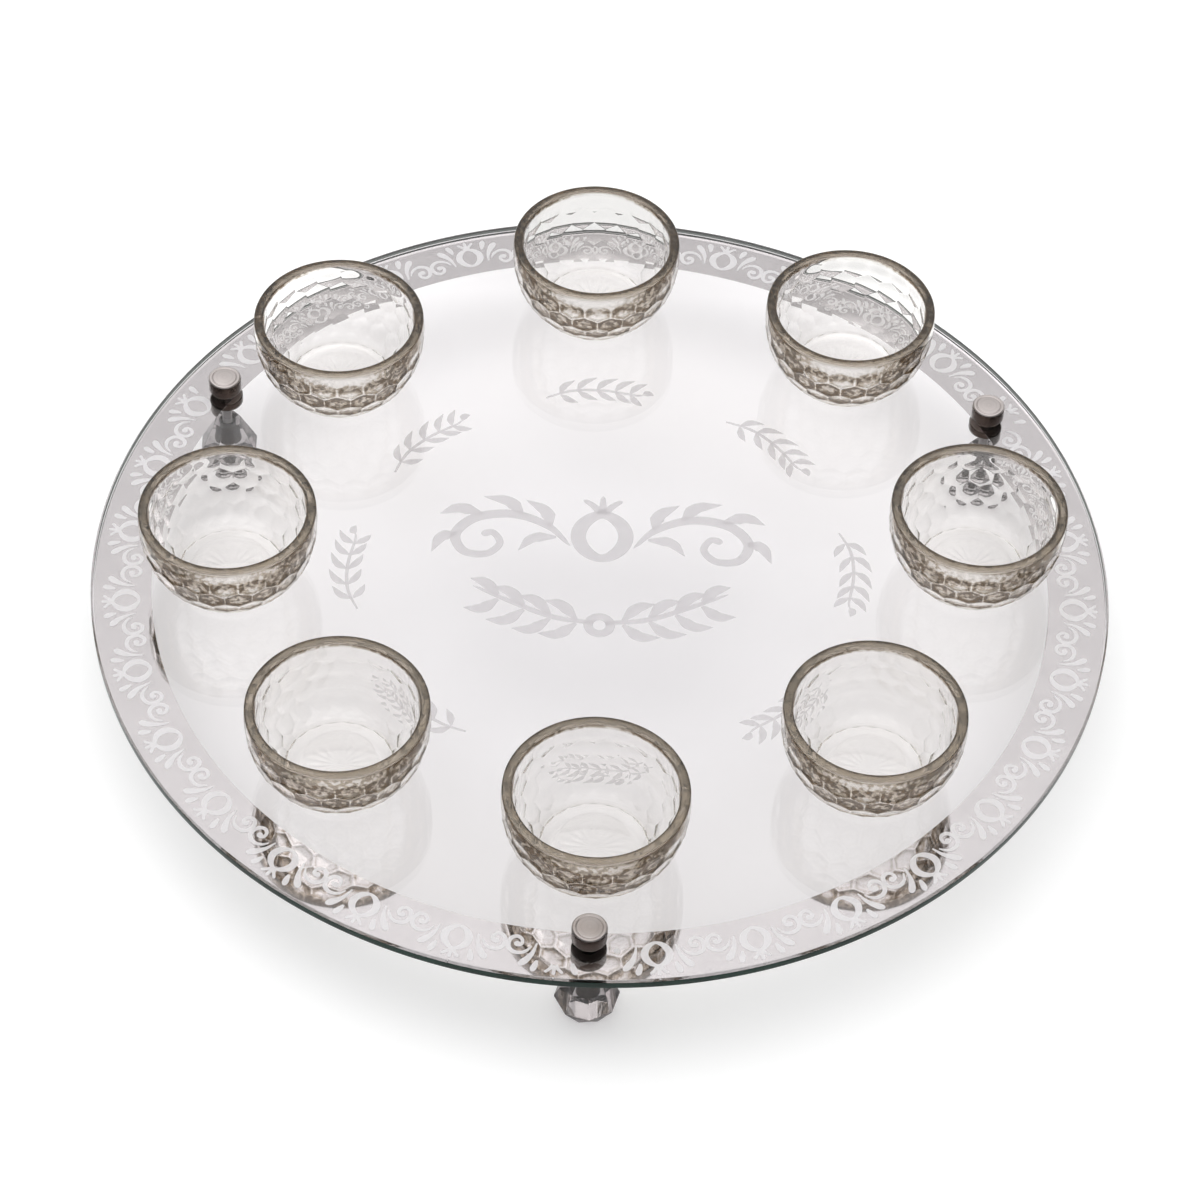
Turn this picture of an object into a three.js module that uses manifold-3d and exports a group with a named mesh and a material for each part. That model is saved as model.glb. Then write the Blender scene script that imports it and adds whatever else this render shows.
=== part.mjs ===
// A footed serving plate for a festive meal: a round clear glass plate with a silver band
// under its rim, held by three posts on faceted crystal feet, with eight pressed-glass dip
// bowls standing loose on it.
// Millimetres, +Z up. The origin lies on the table, under the middle of the plate.

import * as THREE from 'three';
import { mergeVertices } from 'three/addons/utils/BufferGeometryUtils.js';
import Module from 'manifold-3d';

const wasm = await Module();
wasm.setup();

// Glass plate
const PLATE_DIAMETER = 350;
const PLATE_THICKNESS = 4;
const PLATE_CHAMFER = 0.7;
const PLATE_SIDES = 108;

// Silver film printed under the rim
const FILM_EDGE_MARGIN = 0.9;
const FILM_WIDTH = 19.7;
const FILM_THICKNESS = 0.15;

// Posts, each a stud through the plate with a cap above and a collar below
const POST_EDGE_DISTANCE = 16.8;
const POST_PLACES = [
  { name: 'front', angle: 270, footTurn: 6 },
  { name: 'back_right', angle: 30, footTurn: 20 },
  { name: 'back_left', angle: 150, footTurn: 25 },
];
const STUD_DIAMETER = 3.5;
const STUD_CHAMFER = 0.4;
const STUD_SHOWN = 10;
const STUD_SIDES = 16;
const THREAD_CLEARANCE = 0.3;
const END_CLEARANCE = 0.4;
const PLATE_HOLE_DIAMETER = 6;

const CAP_DIAMETER = 11.5;
const CAP_HEIGHT = 5.6;
const CAP_CHAMFER = 0.5;
const CAP_THREAD_DEPTH = 4;
const COLLAR_DIAMETER = 12.3;
const COLLAR_HEIGHT = 3.1;
const COLLAR_CHAMFER = 0.4;
const METAL_SIDES = 32;

const WASHER_THICKNESS = 0.4;
const WASHER_INSET = 0.3;
const WASHER_SIDES = 16;

// Faceted crystal foot, with the threaded insert that the stud screws into
const FOOT_FACETS = 8;
const FOOT_HEIGHT = 18;
const FOOT_TOP_RADIUS = 4.9;
const FOOT_GIRDLE_RADIUS = 10.7;
const FOOT_GIRDLE_HEIGHT = 5;
const FOOT_GIRDLE_BAND = 0.6;
const FOOT_BOTTOM_RADIUS = 8;
const INSERT_DIAMETER = 5.3;
const INSERT_LENGTH = 9;
const INSERT_CLEARANCE = 0.3;

// How far a drill stands out past the face that it starts from
const DRILL_OVERRUN = 1;

// Pressed-glass dip bowl, with rows of six-sided dents round its outside
const BOWL_HEIGHT = 32.2;
const BOWL_BASE_RADIUS = 18.4;
const BOWL_RIM_RADIUS = 29.9;
const BOWL_BELLY_PULL = 1.7;
const BOWL_WALL = 3.6;
const BOWL_FLOOR = 3.2;
const BOWL_FLOOR_RADIUS = 12;
const DENT_COLUMNS = 20;
const DENT_ROWS = 4;
const DENT_DEPTH = 0.65;
const BOWL_INNER_RINGS = 4;

// How the bowl's two outlines leave the foot or floor and come up to the rim, as shares of
// the rise and of the spread between them
const OUTSIDE_FOOT_FLARE = { spread: 0.78, rise: 0.27 };
const OUTSIDE_BELLY_RISE = 0.54;
const INSIDE_FLOOR_SPREAD = 0.6;
const INSIDE_BELLY = { pull: 0.8, rise: 0.33 };

// The bowls stand on a ring, each set down by hand a few millimetres off its even place
const BOWL_EDGE_DISTANCE = 47.75;
const BOWL_RING_TURN = 2.5;
const BOWL_PLACES = [
  { name: 'bowl_right', angle: 0, nudge: [0.5, -1] },
  { name: 'bowl_back_right', angle: 45, nudge: [0, 6] },
  { name: 'bowl_back', angle: 90, nudge: [0, 2] },
  { name: 'bowl_back_left', angle: 135, nudge: [-2, -1] },
  { name: 'bowl_left', angle: 180, nudge: [0.5, -3.5] },
  { name: 'bowl_front_left', angle: 225, nudge: [2.5, 0.5] },
  { name: 'bowl_front', angle: 270, nudge: [-5, 3.5] },
  { name: 'bowl_front_right', angle: 315, nudge: [-4, -1] },
];

// Heights above the table, stacked from the feet up
const COLLAR_BOTTOM = FOOT_HEIGHT + STUD_SHOWN;
const LOWER_WASHER_BOTTOM = COLLAR_BOTTOM + COLLAR_HEIGHT;
const FILM_BOTTOM = LOWER_WASHER_BOTTOM + WASHER_THICKNESS;
const PLATE_BOTTOM = FILM_BOTTOM + FILM_THICKNESS;
const PLATE_TOP = PLATE_BOTTOM + PLATE_THICKNESS;
const CAP_BOTTOM = PLATE_TOP + WASHER_THICKNESS;

// Radii worked out from the sizes above
const PLATE_RADIUS = PLATE_DIAMETER / 2;
const POST_RING_RADIUS = PLATE_RADIUS - POST_EDGE_DISTANCE;
const BOWL_RING_RADIUS = PLATE_RADIUS - BOWL_EDGE_DISTANCE;
const STUD_RADIUS = STUD_DIAMETER / 2;
const THREAD_RADIUS = STUD_RADIUS + THREAD_CLEARANCE;
const INSERT_RADIUS = INSERT_DIAMETER / 2;

const clearGlass = new THREE.MeshStandardMaterial({
  color: 0xe9e7e8, roughness: 0.04, metalness: 0, transparent: true, opacity: 0.35,
});
const silverFilm = new THREE.MeshStandardMaterial({ color: 0xcfcfd0, roughness: 0.08, metalness: 1 });
const pressedGlass = new THREE.MeshStandardMaterial({
  color: 0xc9c5b8, roughness: 0.08, metalness: 0, transparent: true, opacity: 0.5,
});
const crystal = new THREE.MeshStandardMaterial({
  color: 0xd9d3d6, roughness: 0.03, metalness: 0, transparent: true, opacity: 0.5,
});
const brushedSteel = new THREE.MeshStandardMaterial({ color: 0x9c9392, roughness: 0.35, metalness: 1 });
const softPlastic = new THREE.MeshStandardMaterial({ color: 0xe6e6e4, roughness: 0.5, metalness: 0 });

const plate = new THREE.Group();

function addPiece(parent, name, geometry, material) {
  const mesh = new THREE.Mesh(geometry, material);
  mesh.name = name;
  parent.add(mesh);
  return mesh;
}

// A turned piece: its outline is a list of [radius, height] pairs, carried round the Z axis.
function turned(outline, sides) {
  const points = outline.map(([radius, height]) => new THREE.Vector2(radius, height));
  const geometry = new THREE.LatheGeometry(points, sides);
  geometry.rotateX(Math.PI / 2);
  return geometry;
}

// A turned ring between two radii and two heights.
function turnedRing(inner, outer, bottom, top, sides) {
  return turned([[inner, bottom], [outer, bottom], [outer, top], [inner, top], [inner, bottom]], sides);
}

function toSolid(geometry) {
  const bare = geometry.clone();
  bare.deleteAttribute('normal');
  bare.deleteAttribute('uv');
  const merged = mergeVertices(bare, 1e-4);
  const mesh = new wasm.Mesh({
    numProp: 3,
    vertProperties: Float32Array.from(merged.attributes.position.array),
    triVerts: Uint32Array.from(merged.index.array),
  });
  return new wasm.Manifold(mesh);
}

function toGeometry(solid) {
  const mesh = solid.getMesh();
  const geometry = new THREE.BufferGeometry();
  geometry.setAttribute('position', new THREE.BufferAttribute(mesh.vertProperties, 3));
  geometry.setIndex(new THREE.BufferAttribute(mesh.triVerts, 1));
  geometry.computeVertexNormals();
  return geometry;
}

function postCentre(place) {
  const angle = THREE.MathUtils.degToRad(place.angle);
  return new THREE.Vector2(POST_RING_RADIUS * Math.cos(angle), POST_RING_RADIUS * Math.sin(angle));
}

// Drills a hole for each post's stud, right through the given sheet.
function drillPostHoles(geometry, bottom, top) {
  let solid = toSolid(geometry);
  for (const place of POST_PLACES) {
    const centre = postCentre(place);
    const drill = new THREE.CylinderGeometry(
      PLATE_HOLE_DIAMETER / 2, PLATE_HOLE_DIAMETER / 2, top - bottom + 2 * DRILL_OVERRUN, STUD_SIDES);
    drill.rotateX(Math.PI / 2);
    drill.translate(centre.x, centre.y, (bottom + top) / 2);
    solid = solid.subtract(toSolid(drill));
  }
  return toGeometry(solid);
}

function glassPlate() {
  const blank = turned([
    [0, PLATE_BOTTOM],
    [PLATE_RADIUS - PLATE_CHAMFER, PLATE_BOTTOM],
    [PLATE_RADIUS, PLATE_BOTTOM + PLATE_CHAMFER],
    [PLATE_RADIUS, PLATE_TOP - PLATE_CHAMFER],
    [PLATE_RADIUS - PLATE_CHAMFER, PLATE_TOP],
    [0, PLATE_TOP],
  ], PLATE_SIDES);
  return drillPostHoles(blank, PLATE_BOTTOM, PLATE_TOP);
}

function rimFilm() {
  const outer = PLATE_RADIUS - FILM_EDGE_MARGIN;
  const band = turnedRing(outer - FILM_WIDTH, outer, FILM_BOTTOM, PLATE_BOTTOM, PLATE_SIDES);
  return drillPostHoles(band, FILM_BOTTOM, PLATE_BOTTOM);
}

// The cap is a plain turned knob with a chamfered top edge and a blind thread from below.
function capNut() {
  const radius = CAP_DIAMETER / 2;
  const top = CAP_BOTTOM + CAP_HEIGHT;
  const threadTop = CAP_BOTTOM + CAP_THREAD_DEPTH;
  return turned([
    [0, threadTop],
    [THREAD_RADIUS, threadTop],
    [THREAD_RADIUS, CAP_BOTTOM],
    [radius, CAP_BOTTOM],
    [radius, top - CAP_CHAMFER],
    [radius - CAP_CHAMFER, top],
    [0, top],
  ], METAL_SIDES);
}

function collar() {
  const radius = COLLAR_DIAMETER / 2;
  return turned([
    [THREAD_RADIUS, COLLAR_BOTTOM],
    [radius - COLLAR_CHAMFER, COLLAR_BOTTOM],
    [radius, COLLAR_BOTTOM + COLLAR_CHAMFER],
    [radius, LOWER_WASHER_BOTTOM],
    [THREAD_RADIUS, LOWER_WASHER_BOTTOM],
    [THREAD_RADIUS, COLLAR_BOTTOM],
  ], METAL_SIDES);
}

function washer(outerDiameter, bottom) {
  const outer = outerDiameter / 2 - WASHER_INSET;
  return turnedRing(THREAD_RADIUS, outer, bottom, bottom + WASHER_THICKNESS, WASHER_SIDES);
}

function stud() {
  const bottom = FOOT_HEIGHT - INSERT_LENGTH + END_CLEARANCE;
  const top = CAP_BOTTOM + CAP_THREAD_DEPTH - END_CLEARANCE;
  return turned([
    [0, bottom],
    [STUD_RADIUS - STUD_CHAMFER, bottom],
    [STUD_RADIUS, bottom + STUD_CHAMFER],
    [STUD_RADIUS, top - STUD_CHAMFER],
    [STUD_RADIUS - STUD_CHAMFER, top],
    [0, top],
  ], STUD_SIDES);
}

function threadedInsert() {
  return turnedRing(THREAD_RADIUS, INSERT_RADIUS, FOOT_HEIGHT - INSERT_LENGTH, FOOT_HEIGHT, STUD_SIDES);
}

// Points evenly round the Z axis, half a step on where halfStep is 0.5.
function evenRing(count, radius, height, halfStep = 0) {
  return Array.from({ length: count }, (_, k) => {
    const angle = (k + halfStep) * 2 * Math.PI / count;
    return new THREE.Vector3(radius * Math.cos(angle), radius * Math.sin(angle), height);
  });
}

// A faceted skin gathered ring by ring, with every face turned outwards.
class FacetedSkin {
  constructor() {
    this.points = [];
    this.faces = [];
  }

  addPoint(point) {
    this.points.push(point.x, point.y, point.z);
    return this.points.length / 3 - 1;
  }

  addRing(points) {
    return points.map((point) => this.addPoint(point));
  }

  // Joins two rings of as many points, the first one below when seen from outside.
  joinRings(lower, upper) {
    for (let k = 0; k < lower.length; k += 1) {
      const next = (k + 1) % lower.length;
      this.faces.push(lower[k], lower[next], upper[next]);
      this.faces.push(lower[k], upper[next], upper[k]);
    }
  }

  // Closes a ring with a fan round a middle point; up says which way the fan faces.
  closeRing(ring, middle, up) {
    const centre = this.addPoint(middle);
    for (let k = 0; k < ring.length; k += 1) {
      const next = (k + 1) % ring.length;
      this.faces.push(centre, up ? ring[k] : ring[next], up ? ring[next] : ring[k]);
    }
  }

  geometry() {
    const geometry = new THREE.BufferGeometry();
    geometry.setAttribute('position', new THREE.Float32BufferAttribute(this.points, 3));
    geometry.setIndex(this.faces);
    geometry.computeVertexNormals();
    return geometry;
  }
}

// The crystal foot: long facets from a small top down to the girdle, a narrow band there,
// and a ring of triangles down to the bottom, whose corners lie between the girdle's.
function crystalFoot() {
  const skin = new FacetedSkin();
  const bottom = skin.addRing(evenRing(FOOT_FACETS, FOOT_BOTTOM_RADIUS, 0, 0.5));
  const girdleLow = skin.addRing(evenRing(FOOT_FACETS, FOOT_GIRDLE_RADIUS, FOOT_GIRDLE_HEIGHT));
  const girdleHigh = skin.addRing(
    evenRing(FOOT_FACETS, FOOT_GIRDLE_RADIUS, FOOT_GIRDLE_HEIGHT + FOOT_GIRDLE_BAND));
  const top = skin.addRing(evenRing(FOOT_FACETS, FOOT_TOP_RADIUS, FOOT_HEIGHT));
  skin.closeRing(bottom, new THREE.Vector3(0, 0, 0), false);
  skin.joinRings(bottom, girdleLow);
  skin.joinRings(girdleLow, girdleHigh);
  skin.joinRings(girdleHigh, top);
  skin.closeRing(top, new THREE.Vector3(0, 0, FOOT_HEIGHT), true);

  const socketRadius = INSERT_RADIUS + INSERT_CLEARANCE;
  const socketBottom = FOOT_HEIGHT - INSERT_LENGTH - INSERT_CLEARANCE;
  const drillTop = FOOT_HEIGHT + DRILL_OVERRUN;
  const drill = turned(
    [[0, socketBottom], [socketRadius, socketBottom], [socketRadius, drillTop], [0, drillTop]], STUD_SIDES);
  return toGeometry(toSolid(skin.geometry()).subtract(toSolid(drill)));
}

// Outside and inside outlines of the bowl, as [radius, height] curves from the foot to the rim.
const lerp = THREE.MathUtils.lerp;
const bowlOutside = new THREE.CubicBezierCurve(
  new THREE.Vector2(BOWL_BASE_RADIUS, 0),
  new THREE.Vector2(
    lerp(BOWL_BASE_RADIUS, BOWL_RIM_RADIUS, OUTSIDE_FOOT_FLARE.spread),
    BOWL_HEIGHT * OUTSIDE_FOOT_FLARE.rise,
  ),
  new THREE.Vector2(BOWL_RIM_RADIUS + BOWL_BELLY_PULL, BOWL_HEIGHT * OUTSIDE_BELLY_RISE),
  new THREE.Vector2(BOWL_RIM_RADIUS, BOWL_HEIGHT),
);
const bowlMouthRadius = BOWL_RIM_RADIUS - BOWL_WALL;
const bowlInside = new THREE.CubicBezierCurve(
  new THREE.Vector2(BOWL_FLOOR_RADIUS, BOWL_FLOOR),
  new THREE.Vector2(lerp(BOWL_FLOOR_RADIUS, bowlMouthRadius, INSIDE_FLOOR_SPREAD), BOWL_FLOOR),
  new THREE.Vector2(
    bowlMouthRadius + BOWL_BELLY_PULL * INSIDE_BELLY.pull,
    lerp(BOWL_FLOOR, BOWL_HEIGHT, INSIDE_BELLY.rise),
  ),
  new THREE.Vector2(bowlMouthRadius, BOWL_HEIGHT),
);

// A pressed-glass bowl. The outside is a honeycomb: zigzag rings of corners, with upright
// ridges between them and a dent in the middle of each cell. Every second point of the foot
// ring and of the rim ring ends a ridge, and the ones between lie on the flat of a cell.
function pressedBowl() {
  const skin = new FacetedSkin();
  const count = 2 * DENT_COLUMNS;
  const zigzags = DENT_ROWS + 1;
  const cellStep = Math.PI / DENT_COLUMNS;
  const flatRatio = Math.cos(cellStep);

  const onOutside = (k, along, ratio = 1, depth = 0) => {
    const place = bowlOutside.getPointAt(along);
    const radius = place.x * ratio - depth;
    return new THREE.Vector3(radius * Math.cos(k * cellStep), radius * Math.sin(k * cellStep), place.y);
  };
  const insideRing = (along) => {
    const place = bowlInside.getPointAt(along);
    return evenRing(count, place.x, place.y);
  };

  const rowHeight = 1 / zigzags;
  const zigzagLift = rowHeight / 6;
  const zigzagRing = (j) => Array.from({ length: count }, (_, k) => {
    const lift = (k + j) % 2 === 0 ? zigzagLift : -zigzagLift;
    return onOutside(k, (j + 0.5) * rowHeight + lift);
  });
  const footRing = skin.addRing(Array.from({ length: count }, (_, k) => (
    onOutside(k, 0, k % 2 === 1 ? 1 : flatRatio))));
  const rimRing = skin.addRing(Array.from({ length: count }, (_, k) => (
    onOutside(k, 1, (k + zigzags) % 2 === 1 ? 1 : flatRatio))));
  const rings = Array.from({ length: zigzags }, (_, j) => skin.addRing(zigzagRing(j)));

  // Full cells, a fan of six faces round the dented middle of each
  for (let j = 0; j + 1 < zigzags; j += 1) {
    for (let k = j % 2; k < count + (j % 2); k += 2) {
      const left = k % count;
      const middle = (k + 1) % count;
      const right = (k + 2) % count;
      const dent = skin.addPoint(onOutside(k + 1, (j + 1) * rowHeight, 1, DENT_DEPTH));
      const corners = [
        rings[j][left], rings[j][middle], rings[j][right],
        rings[j + 1][right], rings[j + 1][middle], rings[j + 1][left],
      ];
      corners.forEach((corner, c) => skin.faces.push(dent, corner, corners[(c + 1) % 6]));
    }
  }

  // Cut-off cells along the foot and along the rim, each a fan from the middle of its straight side
  const lowest = rings[0];
  const highest = rings[zigzags - 1];
  for (let k = 1; k < count; k += 2) {
    const middle = (k + 1) % count;
    const right = (k + 2) % count;
    const pivot = footRing[middle];
    skin.faces.push(pivot, footRing[right], lowest[right]);
    skin.faces.push(pivot, lowest[right], lowest[middle]);
    skin.faces.push(pivot, lowest[middle], lowest[k]);
    skin.faces.push(pivot, lowest[k], footRing[k]);
  }
  for (let n = 0; n < DENT_COLUMNS; n += 1) {
    const k = 2 * n + ((zigzags - 1) % 2);
    const left = k % count;
    const middle = (k + 1) % count;
    const right = (k + 2) % count;
    const pivot = rimRing[middle];
    skin.faces.push(pivot, rimRing[left], highest[left]);
    skin.faces.push(pivot, highest[left], highest[middle]);
    skin.faces.push(pivot, highest[middle], highest[right]);
    skin.faces.push(pivot, highest[right], rimRing[right]);
  }

  skin.closeRing(footRing, new THREE.Vector3(0, 0, 0), false);
  let above = skin.addRing(insideRing(1));
  skin.joinRings(rimRing, above);
  for (let n = BOWL_INNER_RINGS - 1; n >= 0; n -= 1) {
    const below = skin.addRing(insideRing(n / BOWL_INNER_RINGS));
    skin.joinRings(above, below);
    above = below;
  }
  skin.closeRing(above, new THREE.Vector3(0, 0, BOWL_FLOOR), true);
  return skin.geometry();
}

addPiece(plate, 'glass_plate', glassPlate(), clearGlass);
addPiece(plate, 'rim_film', rimFilm(), silverFilm);

// A post is drawn upright on the Z axis and then moved to its hole.
for (const place of POST_PLACES) {
  const post = new THREE.Group();
  const centre = postCentre(place);
  post.position.set(centre.x, centre.y, 0);
  addPiece(post, `${place.name}_cap`, capNut(), brushedSteel);
  addPiece(post, `${place.name}_upper_washer`, washer(CAP_DIAMETER, PLATE_TOP), softPlastic);
  addPiece(post, `${place.name}_lower_washer`, washer(COLLAR_DIAMETER, LOWER_WASHER_BOTTOM), softPlastic);
  addPiece(post, `${place.name}_collar`, collar(), brushedSteel);
  addPiece(post, `${place.name}_stud`, stud(), brushedSteel);
  addPiece(post, `${place.name}_threaded_insert`, threadedInsert(), brushedSteel);
  const foot = addPiece(post, `${place.name}_crystal_foot`, crystalFoot(), crystal);
  foot.rotation.z = THREE.MathUtils.degToRad(place.footTurn);
  plate.add(post);
}

for (const place of BOWL_PLACES) {
  const angle = THREE.MathUtils.degToRad(place.angle + BOWL_RING_TURN);
  const bowl = addPiece(plate, place.name, pressedBowl(), pressedGlass);
  bowl.position.set(
    BOWL_RING_RADIUS * Math.cos(angle) + place.nudge[0],
    BOWL_RING_RADIUS * Math.sin(angle) + place.nudge[1],
    PLATE_TOP,
  );
  bowl.rotation.z = angle;
}

export default plate;
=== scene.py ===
"""A footed glass plate for a festive meal, with its silver border, its posts and eight dip bowls.

Laid out as an add-on: a property group holds the sizes and colours, one operator makes each
group of like pieces, and a panel in the sidebar lists them. Run as a script, it dresses the
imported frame. Lengths are in metres, in the frame's own axes.
"""

import math

import bpy
import numpy as np
from bpy.props import FloatProperty, FloatVectorProperty, IntProperty, PointerProperty
from bpy.types import Operator, Panel, PropertyGroup
from mathutils import Matrix, Vector


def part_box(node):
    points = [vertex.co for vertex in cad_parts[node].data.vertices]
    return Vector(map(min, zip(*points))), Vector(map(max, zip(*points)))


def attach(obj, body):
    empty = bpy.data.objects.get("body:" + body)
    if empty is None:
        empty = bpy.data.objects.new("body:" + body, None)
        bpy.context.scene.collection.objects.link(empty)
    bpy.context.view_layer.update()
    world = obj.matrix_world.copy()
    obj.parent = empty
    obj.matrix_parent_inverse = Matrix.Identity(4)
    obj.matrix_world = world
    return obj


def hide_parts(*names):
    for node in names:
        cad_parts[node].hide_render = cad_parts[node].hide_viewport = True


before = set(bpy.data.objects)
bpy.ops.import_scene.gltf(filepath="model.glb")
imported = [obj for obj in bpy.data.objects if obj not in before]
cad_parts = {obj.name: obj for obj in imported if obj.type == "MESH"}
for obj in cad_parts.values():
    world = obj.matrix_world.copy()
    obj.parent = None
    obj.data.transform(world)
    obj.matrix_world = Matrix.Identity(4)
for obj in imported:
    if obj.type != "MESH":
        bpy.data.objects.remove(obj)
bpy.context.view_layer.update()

bl_info = {
    "name": "Footed Festive Plate",
    "version": (1, 0, 0),
    "blender": (4, 5, 0),
    "location": "View3D > Sidebar > Festive Plate",
    "description": "Dresses a footed glass plate with its silver border, posts and dip bowls",
    "category": "Mesh",
}

MM = 0.001
ROOT_BODY = "footed_plate"
RIM_SIDES = 384
# The gap between a thread or an insert and the wall round it.
CLEARANCE = 0.3 * MM
# A hair's breadth of air, so that two surfaces don't lie in the same place.
AIR_GAP = 0.02 * MM

PLATE_LOW, PLATE_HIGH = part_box("glass_plate")
FILM_LOW, FILM_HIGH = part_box("rim_film")
POST_NAMES = ("front", "back_right", "back_left")
FOOT_TURNS = {"front": 6.0, "back_right": 20.0, "back_left": 25.0}
BOWL_RING_TURN = 2.5
BOWL_ANGLES = {
    "bowl_right": 0, "bowl_back_right": 45, "bowl_back": 90, "bowl_back_left": 135,
    "bowl_left": 180, "bowl_front_left": 225, "bowl_front": 270, "bowl_front_right": 315,
}


def middle(node):
    """The middle of a CAD node's box, on the floor."""
    low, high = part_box(node)
    return np.array([(low.x + high.x) / 2, (low.y + high.y) / 2, 0.0])


def node_size(node):
    """The width, depth and height of a CAD node's box."""
    low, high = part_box(node)
    return high - low


# Meshes from arrays

def mesh_object(name, points, faces, smooth=True, corner_uv=None, face_slots=None):
    """A mesh object at the origin. faces is a list of integer arrays, each with one face a row."""
    mesh = bpy.data.meshes.new(name)
    corners = np.concatenate([group.ravel() for group in faces]).astype(np.int32)
    sizes = np.concatenate([np.full(len(group), group.shape[1]) for group in faces])
    starts = np.concatenate([[0], np.cumsum(sizes)[:-1]]).astype(np.int32)
    mesh.vertices.add(len(points))
    mesh.vertices.foreach_set("co", np.asarray(points, np.float32).ravel())
    mesh.loops.add(len(corners))
    mesh.loops.foreach_set("vertex_index", corners)
    mesh.polygons.add(len(sizes))
    mesh.polygons.foreach_set("loop_start", starts)
    mesh.polygons.foreach_set("use_smooth", np.full(len(sizes), smooth))
    if face_slots is not None:
        mesh.polygons.foreach_set("material_index", np.asarray(face_slots, np.int32))
    mesh.update(calc_edges=True)
    if corner_uv is not None:
        layer = mesh.uv_layers.new(name="outline")
        layer.data.foreach_set("uv", np.asarray(corner_uv, np.float32).ravel())
    mesh.validate()
    piece = bpy.data.objects.new(name, mesh)
    bpy.context.scene.collection.objects.link(piece)
    return piece


def dress(piece, body, materials, replaces=()):
    """Gives a piece its materials and body, and hides the CAD nodes that it stands for."""
    for material in materials:
        piece.data.materials.append(material)
    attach(piece, body)
    if replaces:
        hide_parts(*replaces)


def use_second_material(piece, height, beyond=0.0):
    """Gives the second material to faces whose middle is below a height and beyond a radius."""
    middles = np.empty(len(piece.data.polygons) * 3, np.float32)
    piece.data.polygons.foreach_get("center", middles)
    middles = middles.reshape(-1, 3)
    chosen = (middles[:, 2] < height) & (np.linalg.norm(middles[:, :2], axis=1) >= beyond)
    piece.data.polygons.foreach_set("material_index", chosen.astype(np.int32))


def sharpen(piece, degrees):
    """Marks the edges that turn by more than an angle, so that shading breaks there."""
    piece.data.set_sharp_from_angle(angle=math.radians(degrees))


def welded(points, faces, step=1e-8):
    """Merges points that lie in the same place, to within a step.

    A point's columns after its place go with it, as the first of the merged points has them.
    """
    keys = np.round(points[:, :3] / step).astype(np.int64)
    _, first, where = np.unique(keys, axis=0, return_index=True, return_inverse=True)
    where = where.ravel()
    return points[first], [where[group] for group in faces]


def grid_quads(rows, columns, close_rows=False):
    """Quads of a grid of points that is closed round its columns.

    Point (i, j) has the number i * columns + j.
    """
    i = np.arange(rows if close_rows else rows - 1)[:, None]
    j = np.arange(columns)
    up = (i + 1) % rows
    on = (j + 1) % columns
    quads = [i * columns + j, i * columns + on, up * columns + on, up * columns + j]
    return np.stack(np.broadcast_arrays(*quads), axis=-1).reshape(-1, 4)


def run_length(line):
    """The running length along a line of points."""
    return np.concatenate([[0], np.cumsum(np.linalg.norm(np.diff(line, axis=0), axis=1))])


def smooth_step(share):
    """Eases a share from 0 to 1: three times its square less twice its cube."""
    share = np.clip(share, 0, 1)
    return share ** 2 * (3 - 2 * share)


def round_axis(radius, angle, height):
    """Points at a radius from the Z axis, an angle round it and a height."""
    return np.stack(np.broadcast_arrays(
        radius * np.cos(angle), radius * np.sin(angle), height), axis=-1)


def softened(outline, reach=0.1 * MM, steps=3):
    """An outline of [radius, height] corners with each inner corner drawn as a short curve.

    Each corner is left and met again at the reach, or at 0.45 of a side that is too short for
    it, along a parabola through them.
    """
    outline = np.asarray(outline, float)
    corner = outline[1:-1]

    def towards(other):
        way = other - corner
        return corner + way * np.minimum(0.45, reach / np.linalg.norm(way, axis=1)[:, None])

    start, end = towards(outline[:-2]), towards(outline[2:])
    t = np.linspace(0, 1, steps)[None, :, None]
    curves = ((1 - t) ** 2 * start[:, None] + 2 * t * (1 - t) * corner[:, None]
              + t ** 2 * end[:, None])
    return np.concatenate([outline[:1], curves.reshape(-1, 2), outline[-1:]])


def corner_uvs(*corners):
    """UVs in the order of the faces' corners, from the U and V arrays of each corner."""
    pairs = [np.stack(np.broadcast_arrays(u, v), axis=-1) for u, v in corners]
    return np.stack(pairs, axis=-2).reshape(-1, 2)


def upright_uv(points, faces):
    """Corner UVs with the height as U, and 0 as V, for the marks that a tool leaves."""
    corners = np.concatenate([group.ravel() for group in faces])
    return np.column_stack([points[corners, 2], np.zeros(len(corners))])


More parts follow.
